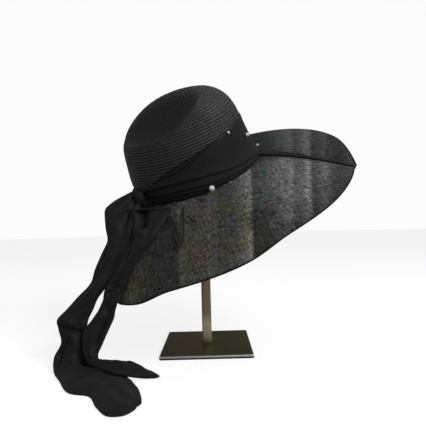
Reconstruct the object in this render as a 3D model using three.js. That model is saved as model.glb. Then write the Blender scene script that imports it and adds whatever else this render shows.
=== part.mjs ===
// A wide black sinamay hat with a sewn straw crown and a knotted silk scarf, leaning on a square stand.
// Millimetres, +Z up. The origin is the middle of the stand plate's underside.
// The hat's front points to +X, and its far side to +Y.
import * as THREE from 'three';

const TURN = 2 * Math.PI;

// The stand: a steel plate, a square post and a cap that fills the top of the crown.
const PLATE = { side: 130, thick: 5.2, corner: 3 };
const POST = { side: 13, turn: 8 };
const HEAD = { height: 80, inset: 3.6, rows: 7 };
const GAP = 0.4;

// Where the middle of the crown's lower rim is, and how the hat hangs, in degrees.
const HAT = { x: -8.4, y: 18.6, z: 265.1, lean: 20.4, tilt: 27.5 };

// The crown: an oval dome, with its half length and its shift to the front at each height.
const CROWN = { height: 130, narrow: 0.86, wall: 1.6, around: 56, rows: 18 };
const CROWN_SECTIONS = [
  { height: 0, half: 100, shift: 0 },
  { height: 26, half: 98, shift: -3 },
  { height: 52, half: 94.5, shift: -2.5 },
  { height: 78, half: 90, shift: -1 },
  { height: 97.5, half: 82, shift: 1 },
  { height: 113, half: 67, shift: 4 },
  { height: 123.5, half: 46.5, shift: 6 },
  { height: 130, half: 0, shift: 6 },
];
// The crown's top is pressed into a tilted dish: its height over (x, y), its slopes and bends along x and y,
// its lowest floor, and how far the floor and the rim are rounded.
const DISH = { x: -14, y: -24, height: 93, slopeX: 0.387, slopeY: 0.456, bendX: 0.00157, bendY: 0.0071 };
const DISH_EDGE = { floor: 87, round: 8 };

// The brim: its reach along the cloth and its droop below the rim's plane, round from the front.
const BRIM = { thick: 1.5, tuck: 1.5, lip: 5.5, drop: 0.3, curl: 1.35, around: 88, rings: 7 };
const BRIM_EDGE = [
  { angle: -180, reach: 105, droop: 76 },
  { angle: -165, reach: 122, droop: 62 },
  { angle: -150, reach: 140, droop: 50 },
  { angle: -138, reach: 142.5, droop: 39.6 },
  { angle: -126, reach: 146.5, droop: 29.6 },
  { angle: -116, reach: 145.5, droop: 26.2 },
  { angle: -104, reach: 136, droop: 22.5 },
  { angle: -76, reach: 135, droop: 18 },
  { angle: -62, reach: 135, droop: 13 },
  { angle: -36, reach: 132, droop: 17 },
  { angle: -14, reach: 135, droop: 20 },
  { angle: -8, reach: 140, droop: 22.5 },
  { angle: -5, reach: 145, droop: 24 },
  { angle: -2, reach: 142.5, droop: 22 },
  { angle: 4, reach: 139.5, droop: 18.5 },
  { angle: 13, reach: 138, droop: 15 },
  { angle: 33, reach: 136, droop: 12.5 },
  { angle: 60, reach: 133, droop: 12 },
  { angle: 92, reach: 126, droop: 14 },
  { angle: 110, reach: 120, droop: 22 },
  { angle: 128, reach: 112, droop: 38 },
  { angle: 146, reach: 106, droop: 56 },
  { angle: 163, reach: 103, droop: 70 },
  { angle: 180, reach: 105, droop: 76 },
];
const CREASE = { depth: 3, width: 9, rise: 6, start: -1, swing: -9, crowd: 0.6 };
const WIRE = { radius: 1.1, sides: 6, inward: 0.99 };

// The scarf's band: how high its upper edge stands on the crown, round from the front.
const BAND = { low: 1.2, clear: 0.6, thick: 2.2, around: 48, rows: 5 };
const BAND_TOP = [
  { angle: -180, top: 12 },
  { angle: -150, top: 20 },
  { angle: -130, top: 26 },
  { angle: -110, top: 42 },
  { angle: -90, top: 52 },
  { angle: -60, top: 62 },
  { angle: -30, top: 70 },
  { angle: 0, top: 72 },
  { angle: 30, top: 68 },
  { angle: 60, top: 60 },
  { angle: 90, top: 50 },
  { angle: 120, top: 40 },
  { angle: 150, top: 25 },
  { angle: 180, top: 12 },
];
const KNOT = { angle: -136, height: 16, out: 12.5, along: 9, deep: 8, tall: 12, around: 16, rows: 10 };

// The scarf's loose ends, from the knot down: the middle of the cloth, half its width, and its heading in plan.
const CLOTH = { thick: 2.4, across: 6, steps: 42, look: 0.05 };
const FAN_ROWS = [
  { x: -77.7, y: -54, z: 208, half: 35.8, turn: -16 },
  { x: -75, y: -58, z: 199, half: 30, turn: -17 },
  { x: -77, y: -64, z: 185, half: 24, turn: -18 },
  { x: -80, y: -71, z: 170, half: 18, turn: -18 },
  { x: -86, y: -76, z: 157, half: 12.7, turn: -17 },
  { x: -92, y: -77, z: 150, half: 11.9, turn: -15 },
];
const LEFT_ROWS = [
  { x: -116, y: -24, z: 231, half: 16, turn: -5 },
  { x: -121.5, y: -34, z: 217, half: 21, turn: -5 },
  { x: -116, y: -43, z: 201, half: 26, turn: -6 },
  { x: -115, y: -51, z: 181, half: 23.5, turn: -6 },
  { x: -113.5, y: -57, z: 164, half: 21.7, turn: -8 },
  { x: -122.3, y: -63, z: 145, half: 20.5, turn: -10 },
  { x: -132.8, y: -67, z: 125, half: 17.9, turn: -11 },
  { x: -141.5, y: -71, z: 108, half: 13.6, turn: -11 },
  { x: -158, y: -73, z: 89, half: 15, turn: -8 },
  { x: -168, y: -75, z: 74, half: 18.6, turn: -6 },
  { x: -177, y: -77, z: 61, half: 21.5, turn: -5 },
  { x: -176, y: -79, z: 48, half: 19.8, turn: -5 },
  { x: -170, y: -83, z: 32, half: 21.5, turn: -5 },
  { x: -172, y: -87, z: 15, half: 27, turn: -3 },
  { x: -167, y: -100, z: 3.4, half: 26, turn: 12 },
  { x: -148, y: -116, z: 1.5, half: 32, turn: 33 },
  { x: -127, y: -141, z: 1.5, half: 37, turn: 47 },
  { x: -108.6, y: -156, z: 1.5, half: 29, turn: 55 },
  { x: -96.8, y: -176, z: 1.5, half: 33, turn: 67 },
  { x: -84, y: -196, z: 1.5, half: 31, turn: 70 },
  { x: -73, y: -207, z: 1.5, half: 20, turn: 72 },
  { x: -67, y: -208, z: 1.5, half: 9, turn: 73 },
];
const RIGHT_ROWS = [
  { x: -92.6, y: -77, z: 149.3, half: 11.9, turn: -15 },
  { x: -98, y: -78, z: 143, half: 11.3, turn: -12 },
  { x: -110, y: -80, z: 121, half: 10.8, turn: -8 },
  { x: -116.3, y: -81, z: 109, half: 11.6, turn: -6 },
  { x: -121.8, y: -82, z: 99, half: 11.3, turn: -6 },
  { x: -124.2, y: -84, z: 87, half: 10.5, turn: -6 },
  { x: -129, y: -86, z: 74, half: 11.7, turn: -6 },
  { x: -133, y: -89, z: 64, half: 14.3, turn: -6 },
  { x: -142, y: -93, z: 48, half: 16.2, turn: -6 },
  { x: -145, y: -97, z: 33, half: 12.8, turn: -6 },
  { x: -146, y: -101, z: 21, half: 9, turn: 0 },
  { x: -140, y: -104, z: 14, half: 8, turn: 20 },
  { x: -127, y: -107, z: 12, half: 14, turn: 45 },
  { x: -111, y: -112, z: 10, half: 19, turn: 60 },
  { x: -95, y: -118, z: 8, half: 19, turn: 68 },
  { x: -78, y: -123, z: 4.5, half: 12, turn: 71 },
  { x: -62, y: -127, z: 2.5, half: 6, turn: 72 },
  { x: -56, y: -129, z: 1.8, half: 2.5, turn: 72 },
];

// Pin heads on the band, and stripped quills tucked under its lower edge.
const PEARLS = [
  { angle: -76, height: 6.5, radius: 4 },
  { angle: -20, height: 44, radius: 2.7 },
  { angle: -43, height: 64, radius: 1.9 },
  { angle: 2.6, height: 12.5, radius: 1.9 },
];
const PEARL = { out: 3.4, around: 12, rows: 8 };
const QUILLS = [
  { from: { angle: -108.5, out: 0.26 }, to: { angle: -98.7, out: 0.62 }, radius: 1.1 },
  { from: { angle: -100.5, out: 0.13 }, to: { angle: -98.3, out: 0.57 }, radius: 0.8 },
  { from: { angle: -96.6, out: 0.27 }, to: { angle: -92.2, out: 0.38 }, radius: 0.7 },
];
const QUILL = { lift: 4, taper: 0.6, sides: 8, steps: 4 };

const FINISH = {
  steel: { color: 0x4a453c, roughness: 0.42, metalness: 0.85 },
  painted: { color: 0x26241f, roughness: 0.6, metalness: 0 },
  straw: { color: 0x141414, roughness: 0.45, metalness: 0 },
  sinamay: { color: 0x2a2b2a, roughness: 0.7, metalness: 0 },
  silk: { color: 0x0c0c0d, roughness: 0.8, metalness: 0 },
  pearl: { color: 0xeeeeec, roughness: 0.25, metalness: 0 },
  quill: { color: 0x0a0a0a, roughness: 0.5, metalness: 0 },
};

const radians = THREE.MathUtils.degToRad;

// A smooth curve through the rows of a table: Hermite pieces with slopes taken across each row.
function through(rows, key, name, value) {
  const last = rows.length - 1;
  const slope = (i) => {
    const a = rows[Math.max(i - 1, 0)];
    const b = rows[Math.min(i + 1, last)];
    return (b[name] - a[name]) / (b[key] - a[key]);
  };
  let i = rows.findIndex((row) => value < row[key]) - 1;
  if (i < 0) i = value < rows[0][key] ? 0 : last - 1;
  const step = rows[i + 1][key] - rows[i][key];
  const t = THREE.MathUtils.clamp((value - rows[i][key]) / step, 0, 1);
  const start = (2 * t ** 3 - 3 * t ** 2 + 1) * rows[i][name] + (t ** 3 - 2 * t ** 2 + t) * step * slope(i);
  return start + (3 * t ** 2 - 2 * t ** 3) * rows[i + 1][name] + (t ** 3 - t ** 2) * step * slope(i + 1);
}

// Joins rings of points into one closed body. With ends, a fan closes each end; without, the last ring
// meets the first.
function loft(rings, ends) {
  const points = rings.flat();
  const count = rings[0].length;
  const faces = [];
  const bands = ends ? rings.length - 1 : rings.length;
  for (let r = 0; r < bands; r += 1) {
    const next = (r + 1) % rings.length;
    for (let c = 0; c < count; c += 1) {
      const d = (c + 1) % count;
      faces.push([r * count + c, r * count + d, next * count + d]);
      faces.push([r * count + c, next * count + d, next * count + c]);
    }
  }
  if (ends) {
    const foot = points.push(ends[0]) - 1;
    const top = points.push(ends[1]) - 1;
    const far = (rings.length - 1) * count;
    for (let c = 0; c < count; c += 1) {
      const d = (c + 1) % count;
      faces.push([foot, d, c]);
      faces.push([top, far + c, far + d]);
    }
  }
  return closedBody(points, faces);
}

// Turns the faces the right way round, by the sign of the volume that they enclose.
function closedBody(points, faces) {
  const volume = faces.reduce(
    (sum, [a, b, c]) => sum + points[a].dot(new THREE.Vector3().crossVectors(points[b], points[c])),
    0,
  );
  const index = volume > 0 ? faces.flat() : faces.flatMap(([a, b, c]) => [a, c, b]);
  const geometry = new THREE.BufferGeometry().setFromPoints(points);
  geometry.setIndex(index);
  geometry.computeVertexNormals();
  return geometry;
}

function piece(name, geometry, finish) {
  const mesh = new THREE.Mesh(geometry, new THREE.MeshStandardMaterial(FINISH[finish]));
  mesh.name = name;
  return mesh;
}

// A point on the crown: an oval at each height, no higher than the dish.
function crownPoint(angle, height, out = 0, lift = 0) {
  const sections = CROWN_SECTIONS.map((row) => ({ ...row, climb: -Math.sqrt(1 - row.height / CROWN.height) }));
  const climb = -Math.sqrt(Math.max(0, 1 - height / CROWN.height));
  const half = through(sections, 'climb', 'half', climb);
  const x = through(sections, 'climb', 'shift', climb) + Math.max(half + out, 0) * Math.cos(angle);
  const y = Math.max(CROWN.narrow * half + out, 0) * Math.sin(angle);
  return new THREE.Vector3(x, y, lower(height + lift, dishHeight(x, y) + out));
}

// The lower of two heights, rounded off where they are close.
function lower(a, b) {
  const near = Math.max(DISH_EDGE.round - Math.abs(a - b), 0) / DISH_EDGE.round;
  return Math.min(a, b) - (near ** 2 * DISH_EDGE.round) / 4;
}

function dishHeight(x, y) {
  const u = x - DISH.x;
  const v = y - DISH.y;
  const bowl = DISH.height + DISH.slopeX * u + DISH.slopeY * v + DISH.bendX * u ** 2 + DISH.bendY * v ** 2;
  return -lower(-bowl, -DISH_EDGE.floor);
}

// Rings of the crown from one height up to the tip, moved out or in by a distance.
function crownRings(from, out, rows) {
  const start = Math.sqrt(1 - from / CROWN.height);
  return Array.from({ length: rows }, (_, r) => {
    const climb = start * (1 - r / rows);
    const height = CROWN.height * (1 - climb ** 2);
    const at = (c) => crownPoint((c / CROWN.around) * TURN, height, out, (out * r) / rows);
    return Array.from({ length: CROWN.around }, (_, c) => at(c));
  });
}

function crownTip(out) {
  const tip = crownPoint(0, CROWN.height, 0);
  tip.z += out;
  return tip;
}

function buildCrown() {
  const outer = crownRings(0, 0, CROWN.rows).reverse();
  const inner = crownRings(0, -CROWN.wall, CROWN.rows);
  return loft([...outer, ...inner], [crownTip(0), crownTip(-CROWN.wall)]);
}

function buildHead() {
  const rings = crownRings(HEAD.height, -HEAD.inset, HEAD.rows);
  return loft(rings, [new THREE.Vector3(0, 0, HEAD.height), crownTip(-HEAD.inset)]);
}

// The crown's lower rim as a distance from the hat's axis.
function rimRadius(angle) {
  const { half } = CROWN_SECTIONS[0];
  return (CROWN.narrow * half) / Math.hypot(CROWN.narrow * Math.cos(angle), Math.sin(angle));
}

// A point on the brim's upper face: out runs from 0 at the rim to 1 at the edge, and the cloth falls faster
// towards the edge. A shallow crease runs out to the front tip.
function brimPoint(angle, out) {
  const turn = THREE.MathUtils.euclideanModulo(THREE.MathUtils.radToDeg(angle) + 180, 360) - 180;
  const reach = through(BRIM_EDGE, 'angle', 'reach', turn);
  const droop = radians(through(BRIM_EDGE, 'angle', 'droop', turn));
  const radius = rimRadius(angle) - BRIM.tuck + (BRIM.lip + reach * Math.cos(droop)) * out;
  const aside = radius * radians(turn - CREASE.start - CREASE.swing * out);
  const crease = CREASE.depth * Math.min(1, CREASE.rise * out) * Math.exp(-((aside / CREASE.width) ** 2));
  const fall = reach * Math.sin(droop) * out ** BRIM.curl;
  return new THREE.Vector3(radius * Math.cos(angle), radius * Math.sin(angle), -BRIM.drop - fall - crease);
}

// The brim's point moved along its own normal.
function brimOffset(angle, out, distance) {
  const step = 0.004;
  const point = brimPoint(angle, out);
  const along = brimPoint(angle + step, out).sub(brimPoint(angle - step, out));
  const radial = brimPoint(angle, Math.min(out + step, 1)).sub(brimPoint(angle, Math.max(out - step, 0)));
  const normal = radial.cross(along).normalize();
  return point.addScaledVector(normal, distance);
}

// The directions round the brim, closer together at the front crease.
function brimAngles() {
  return Array.from({ length: BRIM.around }, (_, c) => {
    const even = (c / BRIM.around) * TURN;
    return even - CREASE.crowd * Math.sin(even) + radians(CREASE.swing / 2);
  });
}

function buildBrim() {
  const outs = Array.from({ length: BRIM.rings + 1 }, (_, r) => r / BRIM.rings);
  const rings = brimAngles().map((angle) => [
    ...outs.map((out) => brimOffset(angle, out, 0)),
    ...outs.toReversed().map((out) => brimOffset(angle, out, -BRIM.thick)),
  ]);
  return loft(rings);
}

function buildWire() {
  const rings = brimAngles().map((angle) => {
    const edge = brimOffset(angle, 1, -BRIM.thick / 2);
    const outward = edge.clone().sub(brimOffset(angle, WIRE.inward, -BRIM.thick / 2)).normalize();
    const across = brimOffset(angle, 1, 1).sub(brimOffset(angle, 1, 0)).normalize();
    const middle = edge.addScaledVector(outward, WIRE.radius + GAP);
    return Array.from({ length: WIRE.sides }, (_, s) => {
      const around = (s / WIRE.sides) * TURN;
      return middle
        .clone()
        .addScaledVector(outward, WIRE.radius * Math.cos(around))
        .addScaledVector(across, WIRE.radius * Math.sin(around));
    });
  });
  return loft(rings);
}

function buildBand() {
  const rings = Array.from({ length: BAND.around }, (_, c) => {
    const turn = (c / BAND.around) * 360 - 180;
    const top = through(BAND_TOP, 'angle', 'top', turn);
    const heights = Array.from({ length: BAND.rows + 1 }, (_r, r) => BAND.low + ((top - BAND.low) * r) / BAND.rows);
    const face = (height, out) => crownPoint(radians(turn), height, out);
    return [
      ...heights.map((height) => face(height, BAND.clear + BAND.thick)),
      ...heights.toReversed().map((height) => face(height, BAND.clear)),
    ];
  });
  return loft(rings);
}

// An egg whose axes are given as three vectors.
function egg(middle, axes, around, rows) {
  const at = (polar, turn) =>
    middle
      .clone()
      .addScaledVector(axes[0], Math.sin(polar) * Math.cos(turn))
      .addScaledVector(axes[1], Math.sin(polar) * Math.sin(turn))
      .addScaledVector(axes[2], Math.cos(polar));
  const rings = Array.from({ length: rows - 1 }, (_, r) =>
    Array.from({ length: around }, (_c, c) => at(((r + 1) / rows) * Math.PI, (c / around) * TURN)),
  );
  return loft(rings, [at(0, 0), at(Math.PI, 0)]);
}

// The outward direction of the crown's wall, level with its rim.
function wallOutward(angle) {
  return new THREE.Vector3(CROWN.narrow * Math.cos(angle), Math.sin(angle), 0).normalize();
}

function buildKnot() {
  const angle = radians(KNOT.angle);
  const outward = wallOutward(angle);
  const along = new THREE.Vector3(-outward.y, outward.x, 0);
  const middle = crownPoint(angle, KNOT.height).addScaledVector(outward, KNOT.out);
  const axes = [
    outward.multiplyScalar(KNOT.deep),
    along.multiplyScalar(KNOT.along),
    new THREE.Vector3(0, 0, KNOT.tall),
  ];
  return egg(middle, axes, KNOT.around, KNOT.rows);
}

function buildPearl({ angle, height, radius }) {
  const turn = radians(angle);
  const outward = wallOutward(turn);
  const middle = crownPoint(turn, height).addScaledVector(outward, PEARL.out + radius);
  const axes = [0, 1, 2].map((axis) => new THREE.Vector3().setComponent(axis, radius));
  return egg(middle, axes, PEARL.around, PEARL.rows);
}

function buildQuill({ from, to, radius }) {
  const start = brimOffset(radians(from.angle), from.out, QUILL.lift);
  const end = brimOffset(radians(to.angle), to.out, QUILL.lift);
  const route = end.clone().sub(start);
  const side = new THREE.Vector3().crossVectors(route, new THREE.Vector3(0, 0, 1)).normalize();
  const up = new THREE.Vector3().crossVectors(side, route).normalize();
  const rings = Array.from({ length: QUILL.steps }, (_, r) => {
    const along = r / (QUILL.steps - 1);
    const width = radius * (1 - QUILL.taper * along);
    return Array.from({ length: QUILL.sides }, (_s, s) => {
      const around = (s / QUILL.sides) * TURN;
      return start
        .clone()
        .addScaledVector(route, along)
        .addScaledVector(side, width * Math.cos(around))
        .addScaledVector(up, width * Math.sin(around));
    });
  });
  return loft(rings, [start, end]);
}

// A strip of cloth that follows a table of rows: its width heads along each row's turn, and its thickness
// stands square to the width and the route.
function buildCloth(table) {
  const rows = table.map((row, i) => ({ ...row, step: i }));
  const last = rows.length - 1;
  const at = (step) => {
    const [x, y, z, half, turn] = ['x', 'y', 'z', 'half', 'turn'].map((name) => through(rows, 'step', name, step));
    return { middle: new THREE.Vector3(x, y, z), half, turn: radians(turn) };
  };
  const sections = Array.from({ length: CLOTH.steps + 1 }, (_, s) => {
    const step = (s / CLOTH.steps) * last;
    const { middle, half, turn } = at(step);
    const ahead = at(Math.min(step + CLOTH.look, last)).middle;
    const route = ahead.sub(at(Math.max(step - CLOTH.look, 0)).middle).normalize();
    const across = new THREE.Vector3(Math.cos(turn), Math.sin(turn), 0);
    const normal = new THREE.Vector3().crossVectors(across, route).normalize();
    const sides = Array.from({ length: CLOTH.across + 1 }, (_a, a) => half * ((2 * a) / CLOTH.across - 1));
    const face = (side, lift) => middle.clone().addScaledVector(across, side).addScaledVector(normal, lift);
    return {
      middle,
      ring: [
        ...sides.map((side) => face(side, CLOTH.thick / 2)),
        ...sides.toReversed().map((side) => face(side, -CLOTH.thick / 2)),
      ],
    };
  });
  return loft(
    sections.map(({ ring }) => ring),
    [sections[0].middle, sections[CLOTH.steps].middle],
  );
}

function buildPlate() {
  const half = PLATE.side / 2;
  const inner = half - PLATE.corner;
  const outline = new THREE.Shape();
  outline.absarc(inner, inner, PLATE.corner, 0, Math.PI / 2);
  outline.absarc(-inner, inner, PLATE.corner, Math.PI / 2, Math.PI);
  outline.absarc(-inner, -inner, PLATE.corner, Math.PI, 1.5 * Math.PI);
  outline.absarc(inner, -inner, PLATE.corner, 1.5 * Math.PI, TURN);
  return new THREE.ExtrudeGeometry(outline, { depth: PLATE.thick, bevelEnabled: false, curveSegments: 5 });
}

// The post, cut off at the top by the slanting underside of the cap.
function buildPost(pose) {
  const underside = new THREE.Vector3(0, 0, HEAD.height - GAP).applyMatrix4(pose);
  const up = new THREE.Vector3(0, 0, 1).transformDirection(pose);
  const corner = (c, z) => {
    const turn = radians(POST.turn + 45 + 90 * c);
    return new THREE.Vector3(Math.cos(turn), Math.sin(turn), 0).multiplyScalar(POST.side / Math.SQRT2).setZ(z);
  };
  const cut = ({ x, y }) => underside.z - (up.x * (x - underside.x) + up.y * (y - underside.y)) / up.z;
  const low = [0, 1, 2, 3].map((c) => corner(c, PLATE.thick + GAP));
  const high = low.map((point) => point.clone().setZ(cut(point)));
  const foot = new THREE.Vector3(0, 0, PLATE.thick + GAP);
  return loft([low, high], [foot, foot.clone().setZ(cut(foot))]);
}

// The hat's own axes: Z up through the crown, X to the front and Y to the far side.
function hatPose() {
  const lean = radians(HAT.lean);
  const tilt = radians(HAT.tilt);
  const up = new THREE.Vector3(-Math.sin(lean) * Math.cos(tilt), -Math.sin(tilt), Math.cos(lean) * Math.cos(tilt));
  const front = new THREE.Vector3(1, 0, 0).addScaledVector(up, -up.x).normalize();
  const aside = new THREE.Vector3().crossVectors(up, front);
  return new THREE.Matrix4().makeBasis(front, aside, up).setPosition(HAT.x, HAT.y, HAT.z);
}

const pose = hatPose();
const hat = new THREE.Group();
hat.applyMatrix4(pose);
hat.add(piece('crown', buildCrown(), 'straw'));
hat.add(piece('brim', buildBrim(), 'sinamay'));
hat.add(piece('brim_edge', buildWire(), 'sinamay'));
hat.add(piece('scarf_band', buildBand(), 'silk'));
hat.add(piece('scarf_knot', buildKnot(), 'silk'));
PEARLS.forEach((pearl, i) => hat.add(piece(`pearl_${i + 1}`, buildPearl(pearl), 'pearl')));
QUILLS.forEach((quill, i) => hat.add(piece(`quill_${i + 1}`, buildQuill(quill), 'quill')));
hat.add(piece('stand_head', buildHead(), 'painted'));

const group = new THREE.Group();
group.add(piece('stand_base', buildPlate(), 'steel'));
group.add(piece('stand_post', buildPost(pose), 'steel'));
group.add(hat);
group.add(piece('scarf_fan', buildCloth(FAN_ROWS), 'silk'));
group.add(piece('tail_left', buildCloth(LEFT_ROWS), 'silk'));
group.add(piece('tail_right', buildCloth(RIGHT_ROWS), 'silk'));

export default group;
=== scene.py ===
"""A wide black sinamay hat with a sewn straw crown and a knotted silk scarf, leaning on a square stand.

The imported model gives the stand, the places and the sizes. Each soft piece is a surface worked out from
the hat's own measures, in millimetres, and put into the model's frame in metres.
"""

import logging
import math
from collections.abc import Callable
from dataclasses import dataclass, field
from enum import Enum

import bmesh
import bpy
import numpy as np
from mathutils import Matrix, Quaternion, Vector


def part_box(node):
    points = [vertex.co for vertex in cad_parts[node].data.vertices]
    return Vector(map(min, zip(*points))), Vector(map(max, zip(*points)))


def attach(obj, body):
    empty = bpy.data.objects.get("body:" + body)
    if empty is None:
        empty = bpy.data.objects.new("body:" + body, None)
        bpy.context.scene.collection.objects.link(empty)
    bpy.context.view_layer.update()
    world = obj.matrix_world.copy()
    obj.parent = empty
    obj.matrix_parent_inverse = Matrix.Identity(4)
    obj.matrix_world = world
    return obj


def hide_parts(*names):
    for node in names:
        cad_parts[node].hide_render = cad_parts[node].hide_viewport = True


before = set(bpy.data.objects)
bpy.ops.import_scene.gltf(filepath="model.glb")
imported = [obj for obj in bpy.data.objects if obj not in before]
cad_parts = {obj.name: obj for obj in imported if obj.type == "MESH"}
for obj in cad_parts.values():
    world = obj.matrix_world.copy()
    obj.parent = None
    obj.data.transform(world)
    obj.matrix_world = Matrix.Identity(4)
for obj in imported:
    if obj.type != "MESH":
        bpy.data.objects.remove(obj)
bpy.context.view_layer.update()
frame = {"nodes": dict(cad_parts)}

LOG = logging.getLogger("hat")
MM = 0.001
TURN = 2 * math.pi


class Slot(Enum):
    """The finishes that the record lists."""

    STEEL = "brushed_steel"
    CAP = "painted_cap"
    STRAW = "straw_braid"
    SINAMAY = "sinamay"
    EDGE = "edge_binding"
    SILK = "silk"
    PEARL = "pearl"
    QUILL = "quill"


class Held(Enum):
    """How a sheet of cloth is held."""

    STRETCHED = "stretched"
    HUNG = "hung"


class Tint(Enum):
    """Casts of colour in the cloth, as factors on red, green and blue."""

    OLIVE = (1.06, 1.08, 0.7)
    RUST = (1.2, 0.93, 1.04)
    TEAL = (0.72, 1.14, 1.04)
    VIOLET = (1.0, 0.98, 1.08)
    PALE = (1.3, 1.3, 1.3)
    CHALK = (2.3, 2.3, 2.3)
    DUSK = (0.5, 0.5, 0.5)


def through(table: np.ndarray, key: int, column: int, at: np.ndarray) -> np.ndarray:
    """A smooth curve through one column of a table, as Hermite pieces with slopes taken across each row.

    Args:
        table: Rows of numbers, rising in the key column.
        key: The column that the curve runs along.
        column: The column whose values are wanted.
        at: Where to read the curve.

    Returns:
        The curve's values, shaped as at.
    """
    keys, values = table[:, key], table[:, column]
    last = len(keys) - 1
    rows = np.arange(last + 1)
    before, after = np.maximum(rows - 1, 0), np.minimum(rows + 1, last)
    slopes = (values[after] - values[before]) / (keys[after] - keys[before])
    i = np.clip(np.searchsorted(keys, at, side="right") - 1, 0, last - 1)
    step = keys[i + 1] - keys[i]
    t = np.clip((at - keys[i]) / step, 0, 1)
    start = (2 * t**3 - 3 * t**2 + 1) * values[i] + (t**3 - 2 * t**2 + t) * step * slopes[i]
    return start + (3 * t**2 - 2 * t**3) * values[i + 1] + (t**3 - t**2) * step * slopes[i + 1]


def smoothstep(value: np.ndarray, low: float, high: float) -> np.ndarray:
    """Rises smoothly from 0 at low to 1 at high."""
    t = np.clip((value - low) / (high - low), 0, 1)
    return t * t * (3 - 2 * t)


def smooth_min(a: np.ndarray, b: np.ndarray, blend: float) -> np.ndarray:
    """The lower of two heights, rounded off where they are less than blend apart."""
    near = np.clip(blend - np.abs(a - b), 0, None) / blend
    return np.minimum(a, b) - near**2 * blend / 4


def bump_at(value: np.ndarray, middle: float, width: float) -> np.ndarray:
    """A bell that is 1 at its middle and fades over its width."""
    return np.exp(-(((value - middle) / width) ** 2))


def unit(vectors: np.ndarray) -> np.ndarray:
    """Vectors scaled to length 1; a zero vector stays zero."""
    length = np.linalg.norm(vectors, axis=-1, keepdims=True)
    return vectors / np.where(length > 1e-12, length, 1)


def circle(count: int) -> np.ndarray:
    """Even turns of a full circle in radians, without the last one."""
    return np.arange(count) / count * TURN


def uv_grid(first: np.ndarray, second: np.ndarray) -> np.ndarray:
    """UV places over two ranges."""
    return np.stack(np.meshgrid(first, second, indexing="ij"), -1)


def signed_degrees(angle: np.ndarray) -> np.ndarray:
    """Radians as degrees from -180 to 180."""
    return (np.degrees(angle) + 180) % 360 - 180


def surface_normals(points: np.ndarray, wrap: bool) -> np.ndarray:
    """The normals of a grid, as the cross product of its steps along the rows and along the columns.

    Args:
        points: A grid of points, rows by columns by 3.
        wrap: Whether the last column meets the first.

    Returns:
        Unit normals, shaped as points.
    """
    down = np.gradient(points, axis=0)
    if wrap:
        across = np.roll(points, -1, axis=1) - np.roll(points, 1, axis=1)
    else:
        across = np.gradient(points, axis=1)
    return unit(np.cross(across, down))


@dataclass
class Faces:
    """Faces of one kind: corner indices and a place in the UV map for each corner."""

    corners: np.ndarray
    places: np.ndarray

    def shifted(self, start: int) -> "Faces":
        """The same faces on points that start further down the list."""
        return Faces(self.corners + start, self.places)


def grid_faces(places: np.ndarray, columns: int, wrap: bool, flip: bool = False) -> Faces:
    """Quads between the neighbours of a grid.

    Args:
        places: UV places, rows by columns by 2, with one more column where the grid wraps.
        columns: How many columns of points the grid has.
        wrap: Whether the last column meets the first.
        flip: Whether the quads face the other way.

    Returns:
        The quads.
    """
    r, c = np.meshgrid(np.arange(len(places) - 1), np.arange(columns if wrap else columns - 1), indexing="ij")
    d = (c + 1) % columns
    low, high = r * columns, (r + 1) * columns
    quads = np.stack([low + c, low + d, high + d, high + c], -1).reshape(-1, 4)
    around = [places[r, c], places[r, c + 1], places[r + 1, c + 1], places[r + 1, c]]
    uv = np.stack(around, 2).reshape(-1, 4, 2)
    return Faces(quads[:, ::-1], uv[:, ::-1]) if flip else Faces(quads, uv)


def make_mesh(name: str, points: np.ndarray, faces: list[Faces], crisp: float = 60.0) -> bpy.types.Object:
    """Puts points and faces into a new smooth object, in metres.

    Args:
        name: The piece's name.
        points: Points in millimetres, in the model's frame.
        faces: Groups of faces, each of one number of corners.
        crisp: Edges that bend by more degrees than this stay sharp.

    Returns:
        The object, linked to the scene.
    """
    mesh = bpy.data.meshes.new(name)
    corners = np.concatenate([f.corners.ravel() for f in faces])
    sizes = np.concatenate([np.full(len(f.corners), f.corners.shape[1]) for f in faces])
    places = np.concatenate([f.places.reshape(-1, 2) for f in faces])
    mesh.vertices.add(len(points))
    mesh.vertices.foreach_set("co", (points * MM).astype(np.float32).ravel())
    mesh.loops.add(len(corners))
    mesh.loops.foreach_set("vertex_index", corners.astype(np.int32))
    mesh.polygons.add(len(sizes))
    mesh.polygons.foreach_set("loop_start", np.concatenate([[0], np.cumsum(sizes)[:-1]]).astype(np.int32))
    mesh.polygons.foreach_set("use_smooth", np.ones(len(sizes), bool))
    mesh.uv_layers.new(name="UVMap").data.foreach_set("uv", places.astype(np.float32).ravel())
    mesh.update(calc_edges=True)
    mesh.validate()
    mesh.set_sharp_from_angle(angle=math.radians(crisp))
    piece = bpy.data.objects.new(name, mesh)
    bpy.context.scene.collection.objects.link(piece)
    return piece


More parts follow.
